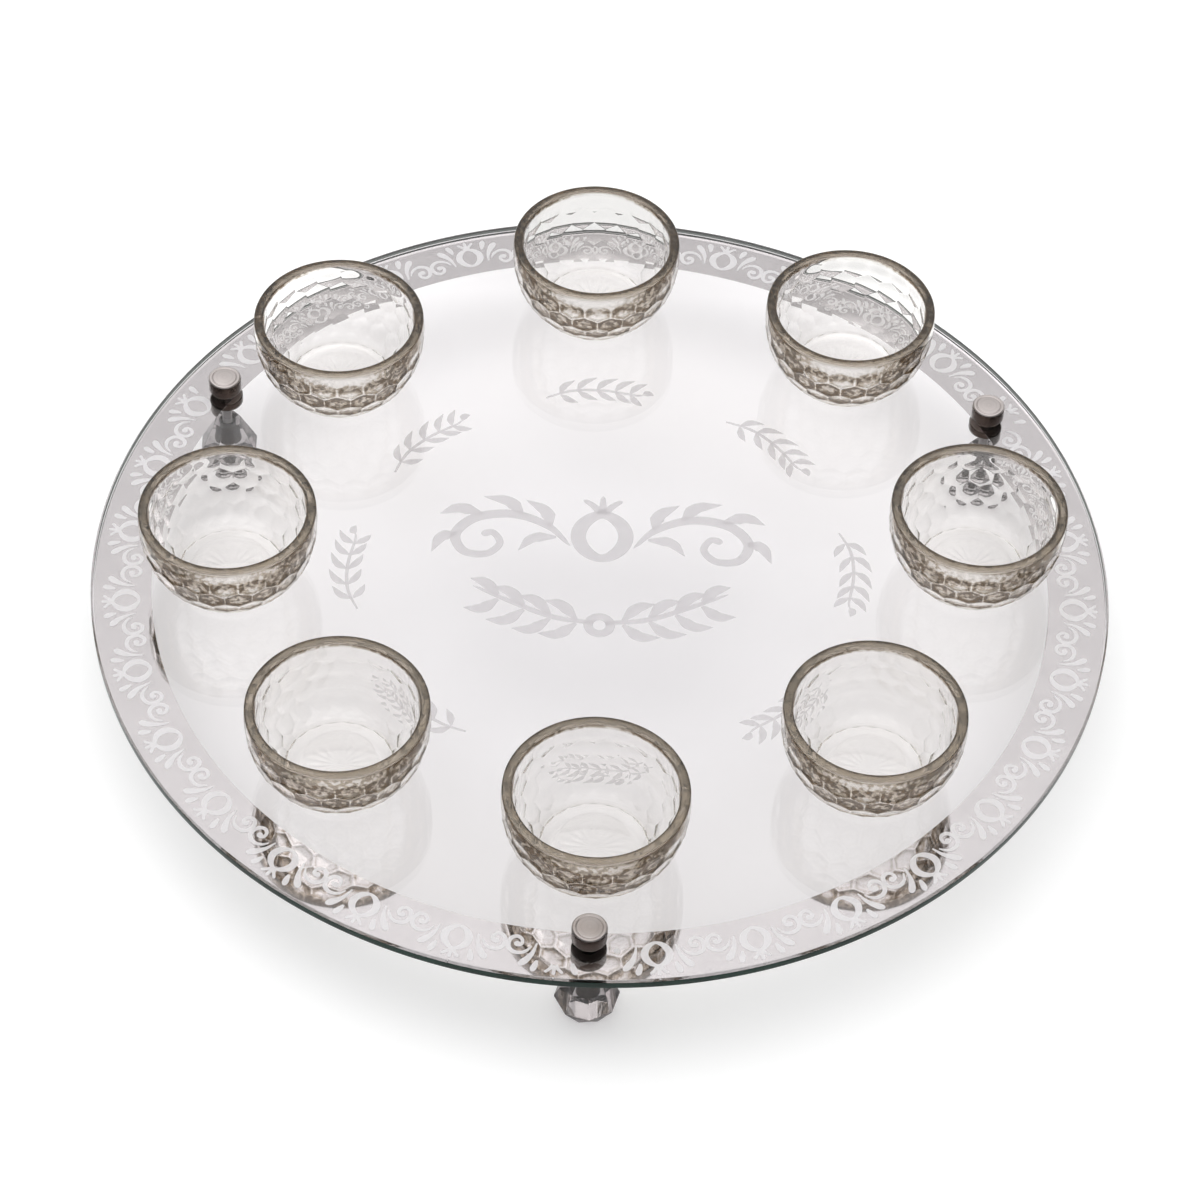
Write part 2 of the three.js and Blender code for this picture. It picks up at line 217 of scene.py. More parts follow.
def turned(outline, sides, closed=False):
    """A turned surface: point (i, j) is outline point i carried round Z by j / sides of a turn.

    The outline runs counterclockwise in the (radius, height) plane. An end on the axis is one
    point with a fan. Gives points, faces and corner UVs, with U the run along the outline and
    V the share of a turn.
    """
    outline = np.asarray(outline, float)
    run = run_length(outline)
    first_pole, last_pole = (not closed and outline[end, 0] < 1e-9 for end in (0, -1))
    rings = outline[int(first_pole):len(outline) - int(last_pole)]
    ring_run = run[int(first_pole):len(outline) - int(last_pole)]
    angle = np.arange(sides) * 2 * math.pi / sides
    points = round_axis(rings[:, :1], angle, rings[:, 1:]).reshape(-1, 3)
    spans = len(rings) if closed else len(rings) - 1
    faces = [grid_quads(len(rings), sides, close_rows=closed)]
    ends = np.append(ring_run, ring_run[-1] + np.linalg.norm(rings[0] - rings[-1]))
    low, high = ends[:spans, None], ends[1:spans + 1, None]
    j = np.arange(sides)
    on, left, right = (j + 1) % sides, j / sides, (j + 1) / sides
    uv = [corner_uvs((low, left), (low, right), (high, right), (high, left))]
    for there, end, base, order in ((first_pole, 0, 0, -1),
                                    (last_pole, -1, len(points) - sides, 1)):
        if there:
            pole = np.full(sides, len(points))
            points = np.concatenate([points, [[0, 0, outline[end, 1]]]])
            faces.append(np.stack([base + j, base + on, pole], axis=-1)[:, ::order])
            fan = [(ring_run[end], left), (ring_run[end], right), (run[end], (j + 0.5) / sides)]
            uv.append(corner_uvs(*fan[::order]))
    return points, faces, np.concatenate(uv)


def turned_piece(name, outline, sides, centre, closed=False, smooth_below=35.0):
    """A turned mesh object on an upright axis through centre."""
    points, faces, uv = turned(outline, sides, closed)
    piece = mesh_object(name, points + centre, faces, corner_uv=uv)
    sharpen(piece, smooth_below)
    return piece


# Shader building

def new_material(name):
    """A node material with no nodes yet, and the calls that add them."""
    material = bpy.data.materials.new(name)
    material.use_nodes = True
    material.node_tree.nodes.clear()
    return material, Tree(material.node_tree)


class Tree:
    """Short calls for adding and joining the nodes of one node tree."""

    def __init__(self, tree):
        self.tree = tree
        self.count = 0

    def add(self, kind, inputs=None, **settings):
        """Adds a node. An input is either a value, or an output of another node to join it to."""
        node = self.tree.nodes.new(kind)
        node.location = (220 * (self.count % 8) - 900, 400 - 260 * (self.count // 8))
        self.count += 1
        for key, value in settings.items():
            setattr(node, key, value)
        for key, value in (inputs or {}).items():
            if isinstance(value, bpy.types.NodeSocket):
                self.tree.links.new(value, node.inputs[key])
            else:
                node.inputs[key].default_value = value
        return node

    def math(self, operation, first, second=0.0, clamp=False):
        return self.add("ShaderNodeMath", {0: first, 1: second},
                        operation=operation, use_clamp=clamp).outputs[0]

    def times(self, first, second, clamp=False):
        return self.math("MULTIPLY", first, second, clamp)

    def spread(self, value, low, high, to_low=0.0, to_high=1.0, **settings):
        """Carries a value over from one range, to whose ends it is held, to another."""
        return self.add("ShaderNodeMapRange", {
            "Value": value, "From Min": low, "From Max": high, "To Min": to_low,
            "To Max": to_high}, **settings).outputs["Result"]

    def mix(self, factor, first, second):
        return self.add("ShaderNodeMix", {0: factor, 6: first, 7: second},
                        data_type="RGBA").outputs[2]

    def object_place(self):
        return self.add("ShaderNodeTexCoord").outputs["Object"]

    def noise(self, where, scale, detail=2.0, distortion=0.0):
        return self.add("ShaderNodeTexNoise", {
            "Vector": where, "Scale": scale, "Detail": detail,
            "Distortion": distortion}).outputs["Fac"]

    def bump(self, height, strength, distance):
        return self.add("ShaderNodeBump", {
            "Height": height, "Strength": strength, "Distance": distance}).outputs["Normal"]

    def group(self, name, *values):
        """Places a shared effect, with values for its inputs in order, and gives its outputs."""
        tree = bpy.data.node_groups.get(name) or SHARED_EFFECTS[name]()
        return self.add("ShaderNodeGroup", dict(enumerate(values)), node_tree=tree).outputs

    def finish(self, inputs, shadow=None, ends=None):
        """The Principled shader and the material's output.

        Where a shadow colour is given, shadow and diffuse rays pass straight through the
        surface and take that colour.
        """
        surface = self.add("ShaderNodeBsdfPrincipled", inputs).outputs["BSDF"]
        if shadow:
            clear = self.add("ShaderNodeBsdfTransparent", {"Color": colour(shadow)})
            rays = self.add("ShaderNodeLightPath").outputs
            straight = self.math("MAXIMUM", rays["Is Shadow Ray"], rays["Is Diffuse Ray"])
            surface = self.add("ShaderNodeMixShader", {
                0: straight, 1: surface, 2: clear.outputs["BSDF"]}).outputs["Shader"]
        self.add("ShaderNodeOutputMaterial", {"Surface": surface, **(ends or {})})


def new_group(name, inputs, outputs):
    """A shader node group of float sockets, the calls for its nodes, and what its inputs give."""
    group = bpy.data.node_groups.new(name, "ShaderNodeTree")
    for socket, value in inputs.items():
        made = group.interface.new_socket(
            socket, in_out="INPUT", socket_type="NodeSocketFloat")
        made.default_value = value
    for socket in outputs:
        group.interface.new_socket(socket, in_out="OUTPUT", socket_type="NodeSocketFloat")
    tree = Tree(group)
    return group, tree, tree.add("NodeGroupInput").outputs


def colour(values, times=1.0):
    """An opaque colour for a socket, with its values times a number."""
    return (times * values[0], times * values[1], times * values[2], 1.0)


def handling_group():
    """Traces of handling: soft smudges, and fine specks of dust, each a mask from 0 to 1."""
    group, tree, scales = new_group(
        "Handling", {"Smudge Scale": 40.0, "Speck Scale": 900.0}, ("Smudges", "Specks"))
    where = tree.object_place()
    broad = tree.noise(where, scales["Smudge Scale"], 4.0, 0.6)
    fine = tree.noise(where, scales["Speck Scale"])
    tree.add("NodeGroupOutput", {
        "Smudges": tree.spread(broad, 0.48, 0.72), "Specks": tree.spread(fine, 0.70, 0.78)})
    return group


def ripple_group():
    """The slow ripple that a mould or a furnace leaves in glass, as a height and a mask."""
    group, tree, scales = new_group(
        "Glass Ripple", {"Scale": 90.0, "Grain Scale": 420.0}, ("Height", "Cloud"))
    where = tree.object_place()
    slow = tree.noise(where, scales["Scale"], 1.0)
    grain = tree.noise(where, scales["Grain Scale"], 1.0)
    tree.add("NodeGroupOutput", {
        "Height": tree.math("ADD", slow, tree.times(grain, 0.15)),
        "Cloud": tree.spread(slow, 0.35, 0.65)})
    return group


def turning_group():
    """Fine grooves left by a lathe tool, read from the piece's own outline UVs."""
    group, tree, scales = new_group(
        "Turning Marks", {"Groove Scale": 9000.0}, ("Height", "Streaks"))
    where = tree.add("ShaderNodeUVMap", uv_map="outline").outputs["UV"]
    parts = tree.add("ShaderNodeSeparateXYZ", {"Vector": where}).outputs
    along = tree.times(parts["X"], scales["Groove Scale"])
    grooves, bands = (
        tree.add("ShaderNodeTexNoise", {"W": place, "Scale": 1.0, "Detail": detail},
                 noise_dimensions="1D").outputs["Fac"]
        for place, detail in ((along, 2.0), (tree.times(along, 0.12), 1.0)))
    mixed = tree.math("ADD", tree.times(grooves, 0.5), tree.times(bands, 0.5))
    tree.add("NodeGroupOutput", {
        "Height": grooves, "Streaks": tree.spread(mixed, 0.35, 0.65)})
    return group


SHARED_EFFECTS = {
    "Handling": handling_group, "Glass Ripple": ripple_group, "Turning Marks": turning_group,
}


def skin_slant(tree, facing, slanted, skin):
    """How dark pressed glass is at a slant, where its skin attribute marks it.

    What the attribute marks with 1 has the full slant, a painted shade, in strokes of fine
    noise, seen from outside the glass. It is clear again nearer to edge on, a painted
    highlight, and dark along the very edge, a painted dark outline such as thick glass shows.
    What is marked above 1 is dark besides by the part above 1, a painted shade on the lip and
    along the cells' dark lines.
    """
    marked = tree.add("ShaderNodeAttribute", attribute_name=skin).outputs["Fac"]
    always = tree.math("SUBTRACT", marked, 1.0, clamp=True)
    inside = tree.add("ShaderNodeNewGeometry").outputs["Backfacing"]
    cloud = tree.group("Glass Ripple", 560.0, 1400.0)["Cloud"]
    strokes = tree.times(slanted, tree.spread(cloud, 0.2, 0.8, 0.6, 1.4))
    # Painted highlight: the shade clears nearer to edge on.
    strokes = tree.times(strokes, tree.spread(facing, 0.66, 0.78, 1.0, 0.1))
    slanted = tree.times(strokes, marked, clamp=True)
    # Painted shade: a dark outline along the very edge.
    slanted = tree.math("MAXIMUM", slanted, tree.spread(facing, 0.83, 0.92))
    return tree.times(tree.math("ADD", slanted, always, clamp=True),
                      tree.math("SUBTRACT", 1.0, inside))


def glass_material(name, tint, slant_shade, slant, ior, ripple, absorption, density, shadow,
                   skin=""):
    """Clear glass: a rippled surface, faint smudges in its gloss, and a body that soaks up light.

    A surface seen at a slant darkens, between the two values of slant, which count from 0,
    seen square on, to 1, seen edge on. This darkening is painted shade: partly for the longer
    way through the glass at a slant, and partly for the dark room seen in and through it. It
    has the slant tint half way, and that tint's cube at the end, as light has that goes three
    times as far. A skin attribute, where one is named, limits that to what it marks. ripple is
    the ripple's scale and strength. The shadow colour gives the soft pale shadow of real glass.
    """
    material, tree = new_material(name)
    smudges = tree.group("Handling", 30.0, 1200.0)["Smudges"]
    waves = tree.group("Glass Ripple", ripple[0], ripple[0] * 5)
    normal = tree.bump(waves["Height"], ripple[1], 0.0004)
    shade = tree.mix(tree.times(waves["Cloud"], 0.25), colour(tint), colour(tint, 0.96))
    facing = tree.add("ShaderNodeLayerWeight", {"Blend": 0.5, "Normal": normal}).outputs["Facing"]
    slanted = tree.spread(facing, *slant)
    if skin:
        slanted = skin_slant(tree, facing, slanted, skin)
    # Painted shade: the base colour goes to the slant tint half way, and to its cube edge on.
    tone = tree.mix(tree.spread(slanted, 0.0, 0.5), shade, colour(slant_shade))
    tone = tree.mix(tree.spread(slanted, 0.5, 1.0), tone, colour([c ** 3 for c in slant_shade]))
    body = tree.add("ShaderNodeVolumeAbsorption", {
        "Color": colour(absorption), "Density": density})
    tree.finish({
        "Base Color": tone, "Roughness": tree.spread(smudges, 0.0, 1.0, 0.0, 0.035), "IOR": ior,
        "Transmission Weight": 1.0, "Normal": normal}, shadow, {"Volume": body.outputs["Volume"]})
    return material


def metal_material(name, base, shade, roughness, marks):
    """Turned metal: streaked by the tool along its outline UVs, with smudges in its gloss.

    shade is how many times as bright the streaks are. marks is the grooves' scale and depth.
    """
    material, tree = new_material(name)
    turning = tree.group("Turning Marks", marks[0])
    smudges = tree.group("Handling", 160.0, 1500.0)["Smudges"]
    streaks = turning["Streaks"]
    gloss = tree.math("ADD", tree.spread(streaks, 0.0, 1.0, roughness, roughness + 0.08),
                      tree.times(smudges, 0.06))
    tree.finish({
        "Base Color": tree.mix(streaks, colour(base), colour(base, shade)), "Roughness": gloss,
        "Metallic": 1.0, "Normal": tree.bump(turning["Height"], marks[1], 0.00002)})
    return material


def edge_material(name, green, grey, shadow):
    """The ground edge of the sheet: dark green from outside, and grey through the sheet's top."""
    material, tree = new_material(name)
    smudges = tree.group("Handling", 90.0, 1600.0)["Smudges"]
    cloud = tree.group("Glass Ripple", 70.0, 900.0)["Cloud"]
    # Painted shade and light: the edge's green is the glass's own, but its near-black from outside
    # is painted shade, and the paler grey seen through the sheet's top is painted light.
    outside = tree.mix(cloud, colour(green), colour(green, 1.6))
    inside = tree.add("ShaderNodeNewGeometry").outputs["Backfacing"]
    tree.finish({
        "Base Color": tree.mix(inside, outside, colour(grey)),
        "Roughness": tree.spread(smudges, 0.0, 1.0, 0.05, 0.14), "IOR": 1.5,
        "Specular IOR Level": 0.12, "Transmission Weight": 0.2}, shadow)
    return material


def silver_material(base):
    """The mirror layer: even silver with a faint cloud, seen through the glass."""
    material, tree = new_material("silver mirror")
    cloud = tree.group("Glass Ripple", 60.0, 700.0)["Cloud"]
    specks = tree.group("Handling", 25.0, 1800.0)["Specks"]
    tree.finish({
        "Base Color": tree.mix(cloud, colour(base), colour(base, 0.95)),
        "Roughness": tree.spread(specks, 0.0, 1.0, 0.05, 0.25), "Metallic": 1.0})
    return material


def print_material(name, base, roughness, cover=1.0):
    """A printed or frosted layer: matt, with the fine grain of a screen print.

    cover is the share of the glass that the dots of the print hide.
    """
    material, tree = new_material(name)
    grain = tree.noise(tree.object_place(), 2600.0)
    smudges = tree.group("Handling", 60.0, 1400.0)["Smudges"]
    tree.finish({
        "Base Color": tree.mix(
            tree.spread(grain, 0.35, 0.65), colour(base, 0.94), colour(base)),
        "Roughness": tree.spread(smudges, 0.0, 1.0, roughness, roughness + 0.15),
        "Alpha": cover, "Normal": tree.bump(grain, 0.15, 0.00005)})
    return material


# The flat ornament: shapes in millimetres, x along the border and y outwards or up

def spline(controls, count):
    """A smooth curve through its control points, evenly sampled.

    Each span is a cubic, whose slope at a control point is half the step between that point's
    two neighbours. Past either end the line goes on by its last step.
    """
    controls = np.asarray(controls, float)
    padded = np.concatenate([
        [2 * controls[0] - controls[1]], controls, [2 * controls[-1] - controls[-2]]])
    u = np.linspace(0, len(controls) - 1 - 1e-9, count)
    k = u.astype(int)
    t = (u - k)[:, None]
    a, b, c, d = (padded[k + n] for n in range(4))
    return 0.5 * (2 * b + (c - a) * t + (2 * a - 5 * b + 4 * c - d) * t ** 2
                  + (3 * b - a - 3 * c + d) * t ** 3)


def ribbon(path, widths, count=24, blunt=(0.0, 0.12)):
    """A flat stroke along a curve. Its width follows the widths, and its ends are rounded off.

    blunt gives the share of the stroke that rounds off at each end, as a quarter ellipse.
    """
    line = spline(path, count)
    share = np.linspace(0, 1, count)
    width = np.interp(share, np.linspace(0, 1, len(widths)), widths)
    for end, from_end in zip(blunt, (share, 1 - share)):
        if end > 0:
            near = np.clip(from_end / end, 0.02, 1)
            width = width * np.sqrt(1 - (1 - near) ** 2)
    way = np.gradient(line, axis=0)
    way /= np.linalg.norm(way, axis=1)[:, None]
    across = np.stack([-way[:, 1], way[:, 0]], axis=1) * width[:, None] / 2
    points = np.stack([line + across, line - across], axis=1).reshape(-1, 2)
    i = np.arange(count - 1) * 2
    return points, np.stack([i, i + 1, i + 3, i + 2], axis=1)


def oval_ring(centre, outer, inner, count=40):
    """A flat ring between two ovals.

    Each oval is [half width, half height, how pointed its ends are].
    """
    turn = np.arange(count) * 2 * math.pi / count
    ovals = []
    for half_width, half_height, point in (outer, inner):
        narrow = 1 - point * np.sin(turn) ** 2
        ovals.append(np.stack([
            centre[0] + half_width * np.cos(turn) * narrow,
            centre[1] + half_height * np.sin(turn)], axis=1))
    i = np.arange(count)
    on = (i + 1) % count
    return np.concatenate(ovals), np.stack([i, on, on + count, i + count], axis=1)


def both_sides(shapes):
    """A list of flat shapes with their mirror images about x = 0."""
    return shapes + [(points * [-1, 1], quads) for points, quads in shapes]


def joined(shapes):
    """Several flat shapes as one set of points and quads, with each point's stroke number."""
    points = np.concatenate([shape[0] for shape in shapes])
    offsets = np.cumsum([0] + [len(shape[0]) for shape in shapes[:-1]])
    quads = np.concatenate([shape[1] + offset for shape, offset in zip(shapes, offsets)])
    stroke = np.repeat(np.arange(len(shapes)), [len(shape[0]) for shape in shapes])
    return points, quads, stroke


def facing_up(points, quads):
    """Turns over each quad that faces down, by the sign of its area in the plane."""
    corners = points[quads]
    a = corners[:, 2] - corners[:, 0]
    b = corners[:, 3] - corners[:, 1]
    down = a[:, 0] * b[:, 1] - a[:, 1] * b[:, 0] < 0
    return np.where(down[:, None], quads[:, ::-1], quads)


def border_motif():
    """One repeat of the border: a crowned fruit between petals, and half of each scroll pair.

    x runs along the border and y outwards, both from the fruit's middle and the middle radius.
    """
    fruit = oval_ring((0, 0.2), (5.2, 5.0, 0.06), (2.7, 3.9, 0.32))
    crown = [ribbon([(0, 4.8), (0, 6.6), (0, 8.6)], [1.7, 1.15, 1.05], 12),
             ribbon([(0.3, 4.9), (1.3, 6.3), (2.8, 7.8)], [1.6, 1.1, 1.05], 12)]
    short_petal = ribbon([(5.5, 3.6), (5.9, 5.4), (6.7, 8.0)], [0.8, 1.8, 2.4], 16, (0.0, 0.36))
    long_petal = ribbon([(6.4, -3.0), (7.2, 0.6), (8.7, 3.5), (10.8, 6.1)],
                        [0.5, 1.3, 2.1, 2.9], 24, (0.0, 0.26))
    scroll = ribbon([(8.0, -1.6), (9.2, 0.3), (11.0, 1.4), (13.2, 1.4), (14.95, 0.2),
                     (15.45, -1.9), (14.7, -3.9), (13.0, -4.7), (11.5, -3.9), (11.1, -2.4),
                     (11.8, -1.5), (12.5, -1.6)],
                    [0.5, 1.0, 1.3, 1.45, 1.5, 1.5, 1.45, 1.3, 1.2, 1.2, 1.3, 1.3],
                    56, (0.0, 0.04))
    blob = oval_ring((12.6, -1.8), (1.05, 1.05, 0.0), (0.05, 0.05, 0.0), 20)
    return joined([fruit, crown[0]]
                  + both_sides([crown[1], short_petal, long_petal, scroll, blob]))


def leaf(start, bend, tip, width, count=12):
    """A pointed leaf on a bent middle line."""
    return ribbon([start, bend, tip], [0.25 * width, width, 0.8 * width, 0.05 * width], count)


def leaf_sprig():
    """A sprig 38 mm long along x: a curved stem, paired leaves and a bud."""
    shapes = [ribbon([(-19, -1.5), (-9, 0.6), (2, 0.4), (13, -0.8), (17, -0.2)],
                     [0.7, 1.2, 1.2, 0.9, 0.6], 30)]
    for x, y, length in ((-13.5, -0.4, 6.0), (-7, 0.7, 7.0), (0, 0.5, 7.2), (6.5, 0.0, 6.4),
                         (12, -0.7, 5.2)):
        for side, bend, rise, tip in ((1, 0.35, 3.8, 6.2), (-1, 0.45, 3.3, 5.1)):
            shapes.append(leaf((x, y + side * 0.4), (x + bend * length, y + side * rise),
                               (x + length, y + side * tip), 2.7))
    shapes.append(leaf((16.6, -0.2), (18.2, 0.9), (20.4, 0.4), 2.9))
    return joined(shapes)


def acanthus_scroll():
    """A big scroll to the right of the middle, with leaves that grow from its outer side."""
    stem = ribbon([(11, 11), (19, 20), (31, 25), (44, 23), (51, 15), (48, 7), (40, 6),
                   (35.5, 11), (38, 16), (42, 15)],
                  [1.2, 3.0, 3.8, 4.0, 3.8, 3.4, 3.0, 2.6, 2.6, 3.2], 90, (0.04, 0.05))
    leaves = (((18, 20), (20, 27), (27, 32), 5.0), ((28, 25), (33, 31), (42, 33), 5.0),
              ((42, 24.5), (50, 27), (57, 24), 5.0), ((50.5, 15), (56, 13), (59, 6), 4.6),
              ((16, 15), (24, 14), (29, 8), 4.4))
    return [stem] + [leaf(*shape, 16) for shape in leaves]


def garland():
    """The middle ornament: a crowned fruit between two scrolls, over a swag of leaves."""
    fruit = [oval_ring((0, 16), (11, 12, 0.06), (5.6, 8.4, 0.3), 56),
             ribbon([(0, 26.5), (0, 31), (0, 35)], [3.4, 2.4, 1.6], 12),
             oval_ring((0, -25), (5.4, 5.4, 0.0), (2.2, 2.2, 0.0), 32)]
    side = acanthus_scroll() + [
        ribbon([(0.6, 27), (3.6, 30.6), (6.8, 33)], [3.0, 2.4, 1.6], 12),
        ribbon([(2, -24), (16, -22), (30, -16), (44, -9)], [1.8, 2.2, 2.0, 1.0], 30)]
    for x, y, size in ((8, -23.6, 1.0), (17, -21.8, 1.0), (26, -18.2, 1.0), (35, -13.8, 0.9)):
        for up, bend, tip in ((1, (5, 7), (11, 9)), (-1, (6, -6), (13, -6))):
            side.append(leaf((x, y + up), (x + bend[0] * size, y + bend[1] * size),
                             (x + tip[0] * size, y + tip[1] * size), 4.6, 14))
    return joined(fruit + both_sides(side))


def bent_to_ring(shape, mid_radius, repeats, first_angle, bare_places=(), bare_radius=0.0):
    """Repeats a flat shape round a ring: x becomes an angle at the middle radius, y a radius.

    A stroke that comes nearer to a bare place than the bare radius is left out there.
    """
    points, quads, stroke = shape
    angle = math.radians(first_angle) + np.arange(repeats)[:, None] * 2 * math.pi / repeats
    angle = angle - points[None, :, 0] / mid_radius
    radius = np.broadcast_to(mid_radius + points[None, :, 1], angle.shape)
    ring = np.stack([radius * np.cos(angle), radius * np.sin(angle)], axis=-1)
    strokes = int(stroke.max()) + 1
    first_points = np.searchsorted(stroke, np.arange(strokes))
    kept = np.ones((repeats, strokes), bool)
    for place in bare_places:
        away = np.linalg.norm(ring - np.asarray(place)[:2], axis=-1)
        kept &= np.minimum.reduceat(away, first_points, axis=1) > bare_radius
    ring_quads = quads + np.arange(repeats)[:, None, None] * len(points)
    ring_quads = ring_quads[kept[:, stroke[quads[:, 0]]]]
    ring_stroke = np.tile(stroke, repeats)
    used, where = np.unique(ring_quads, return_inverse=True)
    return ring.reshape(-1, 2)[used], where.reshape(ring_quads.shape), ring_stroke[used]


PRINT_STEP = 0.002 * MM
PRINT_THICKNESS = 0.02 * MM


def flat_print(name, points, quads, stroke, height):
    """A printed layer of flat quads, in metres, with its thickness upwards from a height.

    Each stroke lies a hair's breadth above the one before, as wet ink does where strokes cross.
    """
    quads = facing_up(points, quads)
    count = len(points)
    low = height + stroke * PRINT_STEP
    layer = np.concatenate([
        np.column_stack([points, low]), np.column_stack([points, low + PRINT_THICKNESS])])
    sides = np.concatenate([quads[:, [n, (n + 1) % 4]] for n in range(4)])
    _, where, times = np.unique(
        np.sort(sides, axis=1), axis=0, return_index=True, return_counts=True)
    edge = sides[where[times == 1]]
    walls = np.column_stack([edge, edge[:, ::-1] + count])
    return mesh_object(name, layer, [quads[:, ::-1], quads + count, walls], smooth=False)


# The dip bowls

def pulled_curve(controls, samples=800):
    """A cubic curve between two ends, pulled towards two points, with its running length.

    The four control points are weighed by the terms of the cube of (1 - t) + t.
    """
    p = np.asarray(controls, float)
    t = np.linspace(0, 1, samples)[:, None]
    curve = ((1 - t) ** 3 * p[0] + 3 * (1 - t) ** 2 * t * p[1]
             + 3 * (1 - t) * t ** 2 * p[2] + t ** 3 * p[3])
    return curve, run_length(curve)


def triangle_patch(rings):
    """Points and triangles of one sector, from its apex out: a ring share and a place on it."""
    share = [(i, j) for i in range(len(rings)) for j in range(i + 1)]
    rho = np.array([rings[i] for i, _ in share])
    place = np.array([j / i if i else 0.0 for i, j in share])
    number = {pair: n for n, pair in enumerate(share)}
    triangles = []
    for i in range(1, len(rings)):
        for j in range(i):
            triangles.append((number[i - 1, j], number[i, j], number[i, j + 1]))
            if j:
                triangles.append((number[i - 1, j - 1], number[i, j], number[i - 1, j]))
    return rho, place, np.array(triangles)


CELL_CORNERS = np.array([(-1, -1), (0, -2), (1, -1), (1, 1), (0, 2), (-1, 1)]) / [1, 3]
CELL_RINGS = (0.0, 0.22, 0.44, 0.64, 0.82, 0.94, 1.0)


def cell_sectors(part):
    """The sectors of a whole or cut-off six-sided cell: two corners and the span of side used."""
    sides = [(CELL_CORNERS[n], CELL_CORNERS[(n + 1) % 6], 0.0, 1.0) for n in range(6)]
    if part == "whole":
        return sides
    # A half starts and ends in the middle of the upright sides, at its left and its right.
    first, start, end = {"lower half": (0, -1.0, 1.0), "upper half": (3, 1.0, -1.0)}[part]
    return [(np.array([start, 0.0]), CELL_CORNERS[first], 0.5, 1.0), *sides[first:first + 2],
            (CELL_CORNERS[first + 2], np.array([end, 0.0]), 0.0, 0.5)]


def honeycomb(columns, rows):
    """A band of dented six-sided cells as (turn, rise, dent, rho) points and triangles.

    turn counts half cells round the bowl and rise goes from 0 at the foot to 1 at the rim. rho
    goes from 0 in the middle of a cell to 1 all along its border. In a cell the dent falls off
    with the square of rho, down to what its side has: a quarter of the full dent half way along
    a side, and none at a corner.
    """
    rho, place, triangles = triangle_patch(CELL_RINGS)
    step = 1 / (rows + 1)
    points, faces, total = [], [], 0
    for row in range(rows + 2):
        part = {0: "upper half", rows + 1: "lower half"}.get(row, "whole")
        middles = np.arange(row % 2, 2 * columns, 2)
        for start, end, from_side, to_side in cell_sectors(part):
            on_side = start + (end - start) * place[:, None]
            side_share = from_side + (to_side - from_side) * place
            dent = 1 - (1 - side_share * (1 - side_share)) * rho ** 2
            turn = middles[:, None] + on_side[:, 0] * rho
            rise = row * step + on_side[:, 1] * step * rho
            block = np.stack(np.broadcast_arrays(turn, rise, dent, rho), axis=-1)
            points.append(block.reshape(-1, 4))
            offsets = total + np.arange(len(middles))[:, None, None] * len(rho)
            faces.append((triangles + offsets).reshape(-1, 3))
            total += len(points[-1])
    return np.concatenate(points), np.concatenate(faces)


